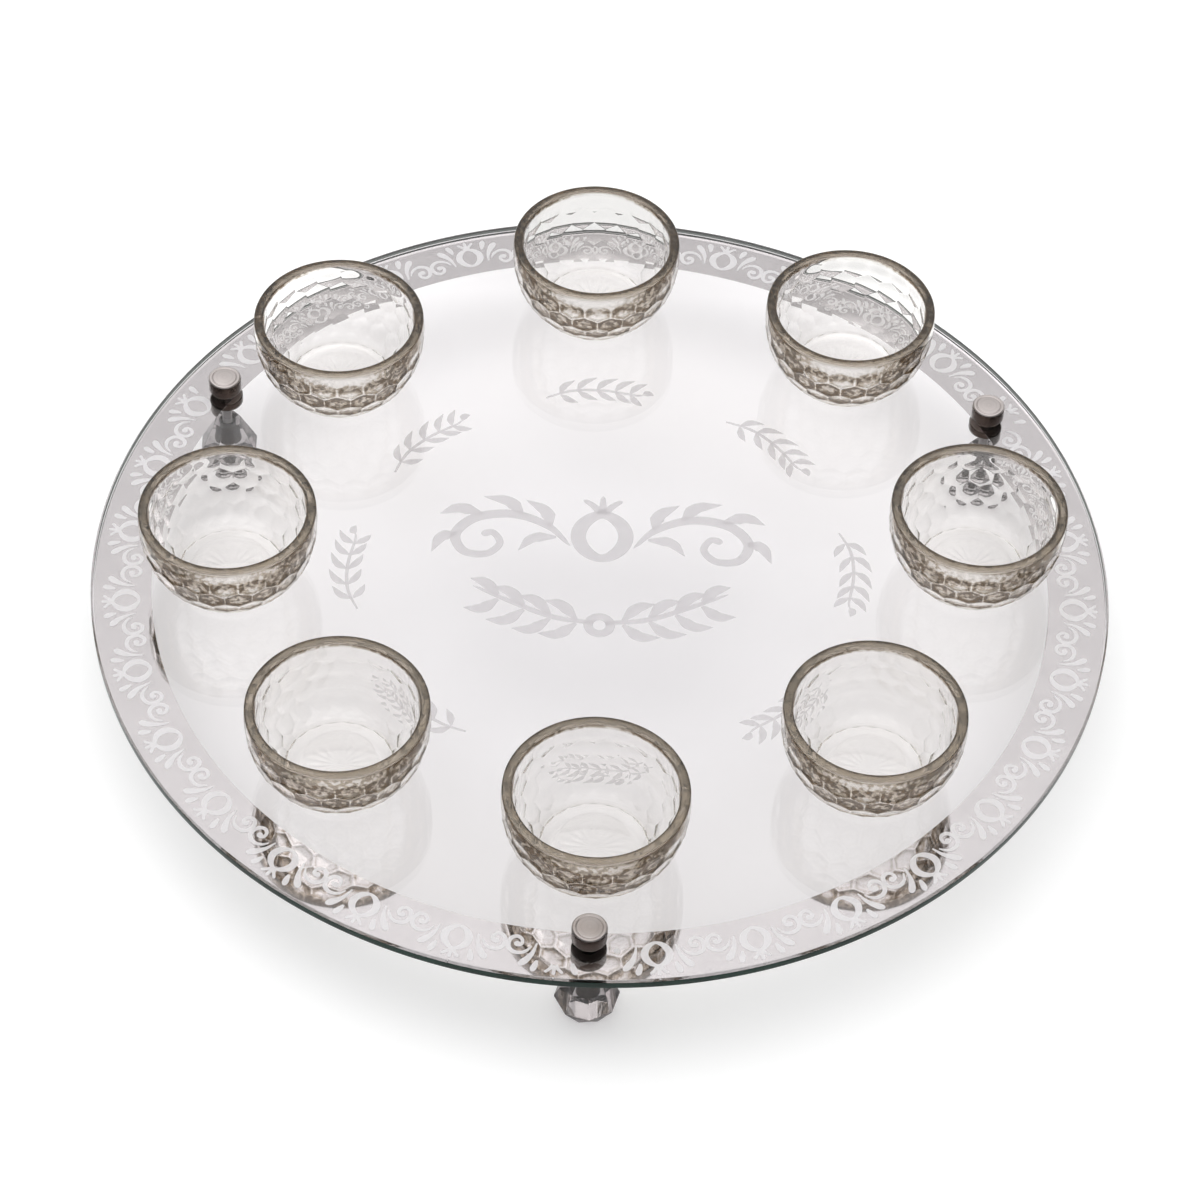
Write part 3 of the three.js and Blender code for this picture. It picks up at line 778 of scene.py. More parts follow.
class BowlForm:
    """The sizes of one dip bowl, and the surfaces worked out from them, on the Z axis."""

    # Towards the rim the dents fade to this share, from a rise on and over a span of it.
    rim_dent, rim_fade_start, rim_fade_span = 0.05, 0.75, 0.17
    # From a cell's middle to its border, added to the painted slant shade: paler, a painted light,
    # then a painted dark line, and a painted bright ridge.
    cell_lines = ((0.44, 0.82, 0.94, 1.0), (-0.3, 0.3, 0.0, -0.8))
    # The heights of the rounded lip and of what is marked as lip, which takes extra painted shade,
    # and the lip's power.
    lip, lip_mark, lip_power = 1.1 * MM, 2.4 * MM, 0.62
    # The height of the foot's rounded edge, and the rise of the dome and of its flutes.
    edge, dome, flute = 0.5 * MM, 0.5 * MM, 0.1 * MM
    lip_rows, wall_rows, dome_rows = 11, 22, 16

    def __init__(self, sizes):
        self.height = sizes.bowl_height
        self.base = sizes.bowl_base_radius
        self.rim = sizes.bowl_rim_radius
        self.mouth = sizes.bowl_rim_radius - sizes.bowl_wall
        self.floor = sizes.bowl_floor
        self.floor_radius = sizes.bowl_floor_radius
        self.belly = sizes.bowl_belly
        self.dent = sizes.dent_depth
        self.columns = sizes.dent_columns
        self.rows = sizes.dent_rows

    def outside(self):
        """The outline between the foot's rounded edge and the lip, and its running length."""
        spread = self.rim - self.base
        curve, run = pulled_curve([
            (self.base, 0), (self.base + 0.78 * spread, 0.27 * self.height),
            (self.rim + self.belly, 0.54 * self.height), (self.rim, self.height)])
        kept = (curve[:, 1] >= self.edge) & (curve[:, 1] <= self.height - self.lip)
        return curve[kept], run[kept] - run[kept][0]

    def inside(self):
        """The inside's outline up to the lip, and its running length."""
        curve, run = pulled_curve([
            (self.floor_radius, self.floor),
            (self.floor_radius + 0.6 * (self.mouth - self.floor_radius), self.floor),
            (self.mouth + 0.8 * self.belly, self.floor + 0.33 * (self.height - self.floor)),
            (self.mouth, self.height)])
        kept = curve[:, 1] <= self.height - 0.8 * self.lip
        return curve[kept], run[kept]

    def around(self, turn, radius, height):
        """Points at a turn in half cells, a radius and a height."""
        return round_axis(radius, turn * math.pi / self.columns, height)

    def skin(self):
        """Points and faces: honeycomb outside, rounded lip, smooth inside, foot and star base.

        The points' fourth column is what the painted dark lines and bright ridges of the cells add
        to the marks.
        """
        cells, cell_faces = honeycomb(self.columns, self.rows)
        rise = cells[:, 1]
        curve, run = self.outside()
        slope = np.gradient(curve, axis=0)
        slope /= np.linalg.norm(slope, axis=1)[:, None]
        along = rise * run[-1]
        radius, height, slope_r, slope_z = (
            np.interp(along, run, values) for values in (*curve.T, *slope.T))
        near_rim = smooth_step((rise - self.rim_fade_start) / self.rim_fade_span)
        dent = self.dent * cells[:, 2] * (1 - (1 - self.rim_dent) * near_rim)
        # At its two ends the wall keeps its height, so that the lip and the foot can join on.
        off_ends = np.clip(np.minimum(rise, 1 - rise) * 12, 0, 1)
        outer = self.around(
            cells[:, 0], radius - dent * slope_z, height + dent * slope_r * off_ends)

        inner = self.inner_rows(curve[-1, 0], self.rim_dent * self.dent * slope[-1, 1])
        under = self.under_rows(self.dent * slope[0, 1])
        count = inner.shape[1]
        starts = np.cumsum([len(outer), inner.size // 3])
        last_inner = starts[1] - count + np.arange(count)
        last_under = starts[1] + under.size // 3 - count + np.arange(count)
        faces = [cell_faces, grid_quads(len(inner), count) + starts[0],
                 grid_quads(len(under), count)[:, ::-1] + starts[1],
                 last_inner[None, :], last_under[None, ::-1]]
        points = np.concatenate([outer, inner.reshape(-1, 3), under.reshape(-1, 3)])
        lines = np.zeros(len(points))
        # Painted dark lines and bright ridges of the cells, fading towards the rim.
        lines[:len(cells)] = (1 - near_rim) * np.interp(cells[:, 3], *self.cell_lines)
        return np.column_stack([points, lines]), faces

    def inner_rows(self, out_r, dent):
        """Rows over the lip, a half superellipse, and down the inside to its flat floor."""
        curve, run = self.inside()
        in_r, in_z = curve[-1]
        turn, dents = self.end_dents((self.rows + 1) % 2)
        across = np.linspace(0, math.pi, self.lip_rows)
        cosine, sine = np.cos(across), np.sin(across)
        lip_r = ((out_r + in_r) / 2 + (out_r - in_r) / 2
                 * np.sign(cosine) * np.abs(cosine) ** self.lip_power)
        base_z = np.interp(across, [0, math.pi], [self.height - self.lip, in_z])
        lip_z = base_z + (self.height - base_z) * sine ** self.lip_power
        fade = (1 + cosine) / 2
        lip = self.around(turn, lip_r[:, None] - dent * dents * fade[:, None], lip_z[:, None])
        steps = np.linspace(run[-1], 0, self.wall_rows)[1:, None]
        wall = self.around(turn, *(np.interp(steps, run, values) for values in curve.T))
        return np.concatenate([lip, wall])

    def under_rows(self, dent):
        """Rows under the bowl, on which the dents of the wall fade out and the flutes rise."""
        turn, dents = self.end_dents(0)
        radius, height, flute = (column[:, None] for column in self.base_outline().T)
        fade = np.clip(1 - np.arange(len(radius)) / 4, 0, 1)[:, None]
        return self.around(turn, radius - dent * dents * fade,
                           height + flute * np.cos(turn * math.pi))

    def marks(self, points):
        """What is outside: 1 for the wall, more on the lip, and 0 for the inside and the foot.

        The lip adds up to half, by a smooth step of the height. The marks set how much painted
        slant shade each point takes, and what is above 1 is painted shade at any slant.
        """
        radius = np.linalg.norm(points[:, :2], axis=1)
        margin = 0.6 * MM
        inner_radius = np.interp(points[:, 2], *self.inside()[0].T[::-1])
        wall = (radius > inner_radius + margin) & (points[:, 2] > self.edge)
        near_rim = smooth_step((points[:, 2] - self.height) / self.lip_mark + 1)
        return np.maximum(wall, near_rim > 0) + 0.5 * near_rim + wall * points[:, 3]

    def end_dents(self, parity):
        """Turn and dent of the points along the foot line or the rim line, in order."""
        rings = np.array(CELL_RINGS)
        half = np.concatenate([rings[:-1], 2 - rings[:0:-1]])
        turn = (np.arange(self.columns)[:, None] * 2 + parity + half).ravel()
        dent = 1 - 0.75 * np.minimum(half, 2 - half) ** 2
        return turn, np.tile(dent, self.columns)

    def base_outline(self):
        """The outline under the bowl: rounded foot edge, bearing ring, and a fluted dome.

        Each row is [radius, height, depth of flute]. The dome rises by the square of one less
        the square of the radius share, so it has no step at its edge.
        """
        start_r, start_z = self.outside()[0][0]
        bearing = start_r - 0.6 * MM
        recess = self.base - 4.6 * MM
        foot = [(start_r, start_z, 0), (start_r - 0.12 * MM, 0.55 * start_z, 0),
                (start_r - 0.3 * MM, 0.2 * start_z, 0), (bearing, 0, 0),
                (bearing - 1.0 * MM, 0, 0)]
        share = np.linspace(1, 0.04, self.dome_rows)
        rise = (1 - share ** 2) ** 2
        flute = self.flute * 4 * share ** 2 * rise
        return np.concatenate([
            foot, np.column_stack([recess * share, self.dome * rise, flute])])


# Posts

def threaded_rod(bottom, top, radius, depth, pitch, chamfer, sides=24, per_turn=6):
    """A threaded rod: the radius falls by a triangle wave of height less turn, with plain ends."""
    rows = int((top - bottom) / pitch * per_turn) + 1
    height = np.linspace(bottom, top, rows)[:, None]
    angle = np.arange(sides)[None, :] * 2 * math.pi / sides
    phase = (height - bottom) / pitch - angle / (2 * math.pi)
    wave = np.abs(2 * (phase - np.floor(phase)) - 1)
    from_end = np.minimum(height - bottom, top - height)
    cut = np.maximum(chamfer - from_end, 0)
    points = round_axis(np.minimum(radius - depth * wave, radius - cut), angle, height)
    ring = np.arange(sides)
    faces = [grid_quads(rows, sides), ring[None, ::-1], (rows - 1) * sides + ring[None, :]]
    return points.reshape(-1, 3), faces


def faceted_foot(sizes, turn, top):
    """The crystal foot: eight facets from a small top to the girdle, and eight pairs below.

    The bottom's corners lie between the girdle's. The socket for the insert goes down from the
    top, as a many-sided hole. Gives points, faces and each face's material slot, which is 1 for
    the glued wall and floor of the socket.
    """
    count = sizes.foot_facets
    k = np.arange(count)
    m = np.arange(count * 4)
    at = 2 * math.pi * k / count + turn
    socket_at = 2 * math.pi * m / len(m) + turn
    socket = sizes.insert_radius + CLEARANCE
    girdle = sizes.foot_girdle_height
    girdle_band = 0.6 * MM
    rings = [(at + math.pi / count, sizes.foot_bottom_radius, 0.0),
             (at, sizes.foot_girdle_radius, girdle),
             (at, sizes.foot_girdle_radius, girdle + girdle_band),
             (at, sizes.foot_top_radius, top), (socket_at, socket, top),
             (socket_at, socket, top - sizes.insert_length - CLEARANCE)]
    points = np.concatenate([
        round_axis(radius, angle, height) for angle, radius, height in rings])
    low, girdle_low, girdle_high, crown, hole, pit = np.cumsum(
        [0] + [len(ring[0]) for ring in rings[:-1]])
    on, m_on = (k + 1) % count, (m + 1) % len(m)
    arc = (4 * k[:, None] + np.arange(4, -1, -1)) % len(m)
    outer = [low + k[None, ::-1],
             np.stack([low + k, girdle_low + on, girdle_low + k], axis=1),
             np.stack([low + k, low + on, girdle_low + on], axis=1),
             np.stack([girdle_low + k, girdle_low + on, girdle_high + on, girdle_high + k], axis=1),
             np.stack([girdle_high + k, girdle_high + on, crown + on, crown + k], axis=1),
             np.column_stack([crown + k, crown + on, hole + arc])]
    glued = [np.stack([hole + m, hole + m_on, pit + m_on, pit + m], axis=1), pit + m[None, :]]
    slots = np.repeat([0, 1], [sum(len(group) for group in part) for part in (outer, glued)])
    return points, outer + glued, slots


# Sizes and colours that a user would change

def length(name, description, metres):
    """A length that a user can change."""
    return FloatProperty(name=name, description=description, default=metres, unit="LENGTH")


def paint(name, description, default):
    """A colour that a user can change."""
    return FloatVectorProperty(
        name=name, description=description, default=default, subtype="COLOR")


class PlateSettings(PropertyGroup):
    edge_chamfer: length(
        "Edge chamfer", "Size of the chamfers along the edge of the glass plate", 0.7 * MM)
    band_width: length("Band width", "Width of the silver band under the rim", 19.7 * MM)
    border_repeats: IntProperty(
        name="Border repeats", description="How often the border's motif goes round",
        default=32, min=3)
    border_turn: FloatProperty(
        name="Border turn", description="Angle of the first fruit of the border, in degrees",
        default=7.6)
    border_radius: length("Border radius", "Middle radius of the border's motif", 163 * MM)
    glass_tint: paint("Glass tint", "Surface tint of the clear glass", (0.87, 0.845, 0.855))
    glass_body: paint(
        "Glass body", "Colour that a long way through the plate turns to", (0.55, 0.80, 0.72))
    edge_green: paint(
        "Edge green", "Colour of the plate's edge from outside", (0.012, 0.034, 0.025))
    edge_grey: paint(
        "Edge grey", "Colour of the plate's edge seen through its top", (0.24, 0.25, 0.24))
    silver: paint("Silver", "Colour of the mirror band", (0.70, 0.69, 0.685))
    border_white: paint("Border white", "Colour of the printed border", (0.97, 0.965, 0.965))
    frost_grey: paint(
        "Frost grey", "Colour of the frosted ornament on the clear glass", (0.80, 0.78, 0.79))
    frost_cover: FloatProperty(
        name="Frost cover", description="Share of the glass that the frosted ornament hides",
        default=0.5, min=0.0, max=1.0, subtype="FACTOR")


class PostSettings(PropertyGroup):
    cap_radius: length(
        "Cap radius", "Radius of the cap above the glass", node_size("front_cap").x / 2)
    collar_radius: length(
        "Collar radius", "Radius of the collar below the glass",
        node_size("front_collar").x / 2)
    stud_radius: length(
        "Stud radius", "Outer radius of the stud's thread", node_size("front_stud").x / 2)
    thread_pitch: length("Thread pitch", "Rise of the stud's thread in one turn", 0.6 * MM)
    foot_facets: IntProperty(
        name="Foot facets", description="Facets round the crystal foot", default=8, min=3)
    foot_top_radius: length("Foot top radius", "Radius of the foot's top corners", 4.9 * MM)
    foot_girdle_radius: length(
        "Foot girdle radius", "Radius of the foot's widest corners", 10.7 * MM)
    foot_girdle_height: length(
        "Foot girdle height", "Height of the foot's widest corners", 5 * MM)
    foot_bottom_radius: length(
        "Foot bottom radius", "Radius of the foot's lowest corners", 8 * MM)
    insert_radius: length(
        "Insert radius", "Outer radius of the threaded insert",
        node_size("front_threaded_insert").x / 2)
    insert_length: length(
        "Insert length", "Length of the threaded insert", node_size("front_threaded_insert").z)
    cap_face: paint("Cap face", "Colour of the cap's satin top", (0.52, 0.475, 0.46))
    # Painted shade: the cap's own metal drawn near black on its sides; the collars, insert sleeves
    # and the feet's sockets share it.
    cap_side: paint("Cap side", "Colour of the dark polished sides", (0.05, 0.037, 0.031))
    steel: paint("Steel", "Colour of the stud and insert", (0.42, 0.40, 0.40))
    crystal_tint: paint(
        "Crystal tint", "Surface tint of the crystal feet", (0.93, 0.915, 0.92))
    # Painted shade: facets seen at a slant darken towards this colour.
    crystal_slant: paint(
        "Crystal slant", "Tint of the facets that are seen at a slant", (0.38, 0.35, 0.35))
    crystal_body: paint(
        "Crystal body", "Colour that a long way through a foot turns to", (0.45, 0.42, 0.42))


class BowlSettings(PropertyGroup):
    bowl_height: length("Height", "Height of a dip bowl", node_size("bowl_front").z)
    bowl_base_radius: length("Base radius", "Radius of the bowl's foot corners", 18.4 * MM)
    bowl_rim_radius: length("Rim radius", "Radius of the bowl's rim corners", 29.9 * MM)
    bowl_belly: length("Belly", "How far the outline is pulled out below the rim", 1.7 * MM)
    bowl_wall: length("Wall", "Thickness of the wall at the rim", 3.3 * MM)
    bowl_floor: length("Floor", "Thickness of the bowl's floor", 3.2 * MM)
    bowl_floor_radius: length("Floor radius", "Radius of the flat part of the inside", 12 * MM)
    dent_columns: IntProperty(
        name="Cells round", description="Cells of the honeycomb round the bowl",
        default=20, min=3)
    dent_rows: IntProperty(
        name="Cell rows", description="Whole rows of cells up the wall", default=4, min=1)
    dent_depth: length("Dent depth", "Depth of a cell's middle below its corners", 0.64 * MM)
    glass_tint: paint("Glass tint", "Surface tint of the pressed glass", (0.98, 0.975, 0.965))
    # Painted shade: the pressed glass darkens towards this colour where it is seen at a slant.
    glass_slant: paint(
        "Glass slant", "Tint of the pressed glass where it is seen at a slant",
        (0.27, 0.21, 0.145))
    glass_body: paint(
        "Glass body", "Colour that a long way through the wall turns to", (0.50, 0.42, 0.29))


class StageSettings(PropertyGroup):
    camera_elevation: FloatProperty(
        name="Camera elevation", description="Angle of the view above the table, in degrees",
        default=48.53)
    camera_turn: FloatProperty(
        name="Camera turn", description="Turn of the view about the plate's axis, in degrees",
        default=-0.42)
    camera_roll: FloatProperty(
        name="Camera roll", description="Tilt of the picture, in degrees", default=2.4)
    camera_distance: length("Camera distance", "Distance to the point looked at", 1231.1 * MM)
    camera_aim: FloatVectorProperty(
        name="Camera aim", description="Point looked at, on the plate's top, before the turn",
        subtype="XYZ", default=(0.08 * MM, -15.63 * MM, 0.0))
    camera_lens: FloatProperty(
        name="Lens", description="Focal length in millimetres on a 36 mm sensor",
        default=107.96)
    paper: paint("Paper", "Colour of the floor", (0.88, 0.88, 0.88))
    zenith: FloatProperty(
        name="Zenith light", description="Brightness of the room overhead", default=1.8)
    backdrop: FloatProperty(
        name="Backdrop light", description="Brightness of the room behind the plate",
        default=0.82)
    camera_side: FloatProperty(
        name="Camera side light", description="Brightness of the room on the camera's side",
        default=0.06)


# Operators

class PLATE_OT_stage(Operator):
    """Makes the floor, the room's light, the lamp and the camera"""

    bl_idname = "festive_plate.stage"
    bl_label = "Stage"

    def execute(self, context):
        settings = context.scene.plate_stage
        self.make_floor(settings)
        self.make_room(context, settings)
        self.make_lamp(context)
        self.make_camera(context, settings)
        return {"FINISHED"}

    def make_floor(self, settings):
        """A wide sheet of paper just below the feet.

        The camera sees it pale all over. Other rays find it dark far in front of the plate and
        far to its sides. Through glass and in metal it glows brighter towards the back of the
        plate, a painted light, but for a fainter spot at its middle, a painted shade.
        """
        reach, drop = 12.0, 0.05 * MM
        corners = np.array([(-1, -1), (1, -1), (1, 1), (-1, 1)]) * reach
        points = np.column_stack([corners, np.full(4, -drop)])
        floor = mesh_object("studio_floor", points, [np.array([[0, 1, 2, 3]])])
        material, tree = new_material("studio paper")
        where = tree.object_place()
        paper_tone = tree.mix(
            tree.noise(where, 300.0), colour(settings.paper), colour(settings.paper, 0.99))
        rays = tree.add("ShaderNodeLightPath").outputs
        seen = rays["Is Camera Ray"]
        place = tree.add("ShaderNodeSeparateXYZ", {"Vector": where}).outputs
        near = tree.times(tree.spread(place["Y"], -0.75, -0.4),
                          tree.spread(tree.math("ABSOLUTE", place["X"]), 0.9, 0.5))
        near = tree.math("MAXIMUM", near, seen)
        tone = tree.mix(near, (0.06, 0.055, 0.05, 1), paper_tone)
        through = tree.math("MAXIMUM", rays["Is Glossy Ray"], rays["Is Transmission Ray"])
        # Painted light: through glass and in metal, the paper under the plate glows brighter
        # towards the back. Painted shade: less of that glow round a spot near the middle.
        from_middle = tree.add("ShaderNodeVectorMath", {0: where, 1: (0, 0.05, 0)},
                               operation="DISTANCE").outputs["Value"]
        painted_glow_and_dip = tree.math("SUBTRACT", tree.spread(place["Y"], -0.15, 0.15, 0.05, 0.39),
                           tree.spread(from_middle, 0.03, 0.13, 0.08, 0.0))
        under = tree.times(painted_glow_and_dip, tree.spread(place["Y"], 0.17, 0.21, 1.0, 0.0))
        glow = tree.math("ADD", tree.times(seen, 0.22),
                         tree.times(tree.times(through, under), near))
        tree.finish({
            "Base Color": tone, "Roughness": 0.9, "Specular IOR Level": 0.0,
            "Emission Color": (1, 1, 1, 1), "Emission Strength": glow})
        floor.data.materials.append(material)

    def make_room(self, context, settings):
        """A soft room: bright overhead, pale behind the plate and dark on the camera's side."""
        world = bpy.data.worlds.new("soft room")
        world.use_nodes = True
        world.node_tree.nodes.clear()
        tree = Tree(world.node_tree)
        where = tree.add("ShaderNodeTexCoord").outputs["Generated"]
        way = tree.add("ShaderNodeSeparateXYZ", {"Vector": where}).outputs

        def eased(*values):
            return tree.spread(*values, interpolation_type="SMOOTHSTEP")

        front = eased(way["Z"], 0.5, 0.95, settings.camera_side, settings.zenith)
        back = eased(way["Z"], 0.55, 1.0, settings.backdrop, settings.zenith)
        behind = eased(way["Y"], -0.05, 0.6)
        share = tree.math("ADD", tree.times(front, tree.math("SUBTRACT", 1.0, behind)),
                          tree.times(back, behind))
        rays = tree.add("ShaderNodeLightPath").outputs
        light = tree.add("ShaderNodeBackground", {
            "Color": (1, 1, 1, 1),
            "Strength": tree.math("MAXIMUM", share, rays["Is Camera Ray"])})
        tree.add("ShaderNodeOutputWorld", {"Surface": light.outputs["Background"]})
        context.scene.world = world

    def make_lamp(self, context):
        """One wide soft lamp overhead and to the left, which gives the glass its highlights."""
        lamp = bpy.data.lights.new("soft box", "AREA")
        lamp.shape = "RECTANGLE"
        lamp.size, lamp.size_y = 1.5, 1.0
        lamp.energy = 3.0
        holder = bpy.data.objects.new("soft box", lamp)
        place = Vector((-0.9, 0.5, 1.5))
        holder.location = place
        holder.rotation_euler = (-place).to_track_quat("-Z", "Y").to_euler()
        context.scene.collection.objects.link(holder)

    def make_camera(self, context, settings):
        """A view from the settings' angles, which the roll turns about its own middle."""
        turn = Matrix.Rotation(math.radians(settings.camera_turn), 3, "Z")
        aim = turn @ Vector(settings.camera_aim) + Vector((0, 0, PLATE_HIGH.z))
        rise = math.radians(settings.camera_elevation)
        forward = turn @ Vector((0, math.cos(rise), -math.sin(rise)))
        right = turn @ Vector((1, 0, 0))
        up = right.cross(forward)
        roll = math.radians(settings.camera_roll)
        level = math.cos(roll) * right + math.sin(roll) * up
        top = -math.sin(roll) * right + math.cos(roll) * up
        lens = bpy.data.cameras.new("camera")
        lens.lens = settings.camera_lens
        lens.sensor_width = 36.0
        camera = bpy.data.objects.new("camera", lens)
        axes = Matrix((level, top, -forward)).transposed().to_4x4()
        place = aim - settings.camera_distance * forward
        camera.matrix_world = Matrix.Translation(place) @ axes
        context.scene.collection.objects.link(camera)
        context.scene.camera = camera


class PLATE_OT_sheet(Operator):
    """Makes the round glass sheet with its ground edge and its three drilled holes"""

    bl_idname = "festive_plate.sheet"
    bl_label = "Glass sheet"

    def execute(self, context):
        settings = context.scene.plate_sheet
        radius, low, high = PLATE_HIGH.x, PLATE_LOW.z, PLATE_HIGH.z
        edge = settings.edge_chamfer
        flat = radius - edge
        inner = flat - 0.25 * MM
        outline = softened([
            (0, low), (inner, low), (flat, low), (radius, low + edge), (radius, high - edge),
            (flat, high), (inner, high), (0, high)])
        # The slant tint darkens the sheet's surface near edge on, a painted shade.
        clear = glass_material(
            "clear float glass", settings.glass_tint, slant_shade=(0.8, 0.83, 0.81),
            slant=(0.8, 1.0), ior=1.50, ripple=(25.0, 0.01), absorption=settings.glass_body,
            density=6.0, shadow=(0.95, 0.945, 0.95))
        ground = edge_material(
            "green glass edge", settings.edge_green, settings.edge_grey,
            shadow=(0.8, 0.84, 0.82))
        piece = turned_piece("glass_sheet", outline, RIM_SIDES, np.zeros(3), smooth_below=25)
        self.drill(context, piece)
        use_second_material(piece, high - edge, flat)
        dress(piece, ROOT_BODY, [clear, ground], ["glass_plate"])
        return {"FINISHED"}

    def drill(self, context, piece):
        """Cuts a hole for each stud, by a boolean that is applied to the mesh."""
        hole, margin = 3 * MM, 2 * MM
        low, high = PLATE_LOW.z - margin, PLATE_HIGH.z + margin
        for name in POST_NAMES:
            outline = [(0, low), (hole, low), (hole, high), (0, high)]
            points, faces, _ = turned(outline, sides=48)
            drill = mesh_object("drill", points + middle(f"{name}_cap"), faces)
            cut = piece.modifiers.new("drill", "BOOLEAN")
            cut.operation = "DIFFERENCE"
            cut.solver = "EXACT"
            cut.object = drill
            context.view_layer.update()
            cut_piece = piece.evaluated_get(context.evaluated_depsgraph_get())
            shape = bpy.data.meshes.new_from_object(cut_piece)
            piece.modifiers.clear()
            piece.data = shape
            bpy.data.objects.remove(drill)
        sharpen(piece, 25)


class PLATE_OT_border(Operator):
    """Makes the silver band under the rim and the ornament printed on it"""

    bl_idname = "festive_plate.border"
    bl_label = "Silver border"

    def execute(self, context):
        settings = context.scene.plate_sheet
        outer = FILM_HIGH.x
        inner = outer - settings.band_width
        low = FILM_LOW.z
        high = low + 0.06 * MM
        points, faces, uv = turned(
            [(inner, low), (outer, low), (outer, high), (inner, high)], RIM_SIDES, closed=True)
        is_under = np.arange(4 * RIM_SIDES) < RIM_SIDES
        backing = print_material("band backing", (0.62, 0.62, 0.63), roughness=0.6)
        band = mesh_object(
            "silver_band", points, faces, smooth=False, corner_uv=uv, face_slots=is_under)
        dress(band, ROOT_BODY, [silver_material(settings.silver), backing],
              ["rim_film"])
        flat, quads, stroke = border_motif()
        bare_places = [middle(f"{name}_cap") for name in POST_NAMES]
        ring = bent_to_ring(
            (flat * MM, quads, stroke), settings.border_radius, settings.border_repeats,
            settings.border_turn, bare_places, bare_radius=6.6 * MM)
        ink = print_material("white border ink", settings.border_white, roughness=0.55)
        dress(flat_print("border_ornament", *ring, high + AIR_GAP),
              ROOT_BODY, [ink])
        return {"FINISHED"}


class PLATE_OT_frosting(Operator):
    """Makes the frosted garland in the middle and the eight sprigs inside the ring of bowls"""

    bl_idname = "festive_plate.frosting"
    bl_label = "Frosted ornament"

    def execute(self, context):
        settings = context.scene.plate_sheet
        frost = print_material(
            "frosted print", settings.frost_grey, roughness=0.7, cover=settings.frost_cover)
        height = PLATE_LOW.z - 0.14 * MM
        points, quads, stroke = garland()
        dress(flat_print("middle_garland", points * MM, quads, stroke, height),
              ROOT_BODY, [frost])
        points, quads, stroke = leaf_sprig()
        ring = bent_to_ring((points * MM, quads, stroke), mid_radius=87 * MM, repeats=8,
                            first_angle=2.2)
        dress(flat_print("leaf_sprigs", *ring, height), ROOT_BODY, [frost])
        return {"FINISHED"}


class PLATE_OT_posts(Operator):
    """Makes the caps, washers, collars, studs and inserts of the three posts"""

    bl_idname = "festive_plate.posts"
    bl_label = "Posts"

    def execute(self, context):
        settings = context.scene.plate_posts
        face = metal_material(
            "satin cap face", settings.cap_face, shade=0.8, roughness=0.34, marks=(9000.0, 0.5))
        # Painted shade: this side colour is the caps' metal drawn darker; the collars and the
        # insert sleeves take it too.
        side = metal_material(
            "painted-shade metal side", settings.cap_side, shade=1.5, roughness=0.16,
            marks=(5000.0, 0.25))
        steel = metal_material(
            "threaded steel", settings.steel, shade=0.7, roughness=0.28, marks=(6000.0, 0.2))
        rubber = print_material("washer plastic", (0.20, 0.16, 0.14), roughness=0.35)
        bore = settings.stud_radius + CLEARANCE
        for name in POST_NAMES:
            centre = middle(f"{name}_cap")
            self.make_cap(name, centre, settings.cap_radius, bore, face, side)
            self.make_tube(f"{name}_collar", f"{name}_turned_collar", centre, bore,
                           settings.collar_radius, (0.4 * MM, 0.1 * MM), "turned_metal", side,
                           reach=0.08 * MM, sides=64, smooth_below=30)
            washer_bore = 2.05 * MM
            for place in ("upper", "lower"):
                node = f"{name}_{place}_washer"
                self.make_tube(node, f"{name}_{place}_soft_washer", centre, washer_bore,
                               node_size(node).x / 2, (), "soft_plastic", rubber)
            self.make_stud(name, centre, settings, steel)
            self.make_tube(f"{name}_threaded_insert", f"{name}_insert_sleeve", centre, bore,
                           settings.insert_radius, (0.3 * MM, 0.3 * MM), "stud_metal", side)
        return {"FINISHED"}

    def make_cap(self, name, centre, radius, bore, face, side):
        """A turned cap: a shallow ring on its satin face, a bright chamfer and dark sides."""
        # The dark sides are painted shade: the same metal as the satin face, drawn darker.
        low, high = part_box(f"{name}_cap")
        bore_top = low.z + 4 * MM
        ring, groove, groove_depth = 0.74 * radius, 0.22 * MM, 0.2 * MM
        foot, chamfer, chamfer_fall = 0.15 * MM, 0.5 * MM, 0.55 * MM
        outline = softened([
            (0, bore_top), (bore, bore_top), (bore, low.z), (radius - foot, low.z),
            (radius, low.z + foot), (radius, high.z - chamfer_fall), (radius - chamfer, high.z),
            (ring + groove, high.z), (ring, high.z - groove_depth), (ring - groove, high.z),
            (0, high.z)])
        cap = turned_piece(f"{name}_turned_cap", outline, 64, centre, smooth_below=30)
        use_second_material(cap, high.z - chamfer)
        dress(cap, ROOT_BODY, [face, side], [f"{name}_cap"])

    def make_tube(self, node, piece, centre, bore, radius, chamfers, slot, material,
                  reach=0.1 * MM, sides=48, smooth_below=35):
        """A turned tube as high as its node's box, with chamfers at its outside's two ends."""
        low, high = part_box(node)
        outside = [(radius, low.z), (radius, high.z)]
        if chamfers:
            foot, top = chamfers
            outside = [(radius - foot, low.z), (radius, low.z + foot), (radius, high.z - top),
                       (radius - top, high.z)]
        outline = softened([(bore, low.z), *outside, (bore, high.z), (bore, low.z)], reach)[:-1]
        tube = turned_piece(piece, outline, sides, centre, closed=True, smooth_below=smooth_below)
        dress(tube, ROOT_BODY, [material], [node])

    def make_stud(self, name, centre, settings, steel):
        """A threaded stud. Its outline UVs have the height as U, and 0 as V."""
        low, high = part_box(f"{name}_stud")
        points, faces = threaded_rod(
            low.z, high.z, settings.stud_radius, depth=0.28 * MM, pitch=settings.thread_pitch,
            chamfer=0.4 * MM)
        stud = mesh_object(f"{name}_threaded_stud", points + centre, faces,
                           corner_uv=upright_uv(points - [0, 0, low.z], faces))
        sharpen(stud, 50)
        dress(stud, ROOT_BODY, [steel], [f"{name}_stud"])


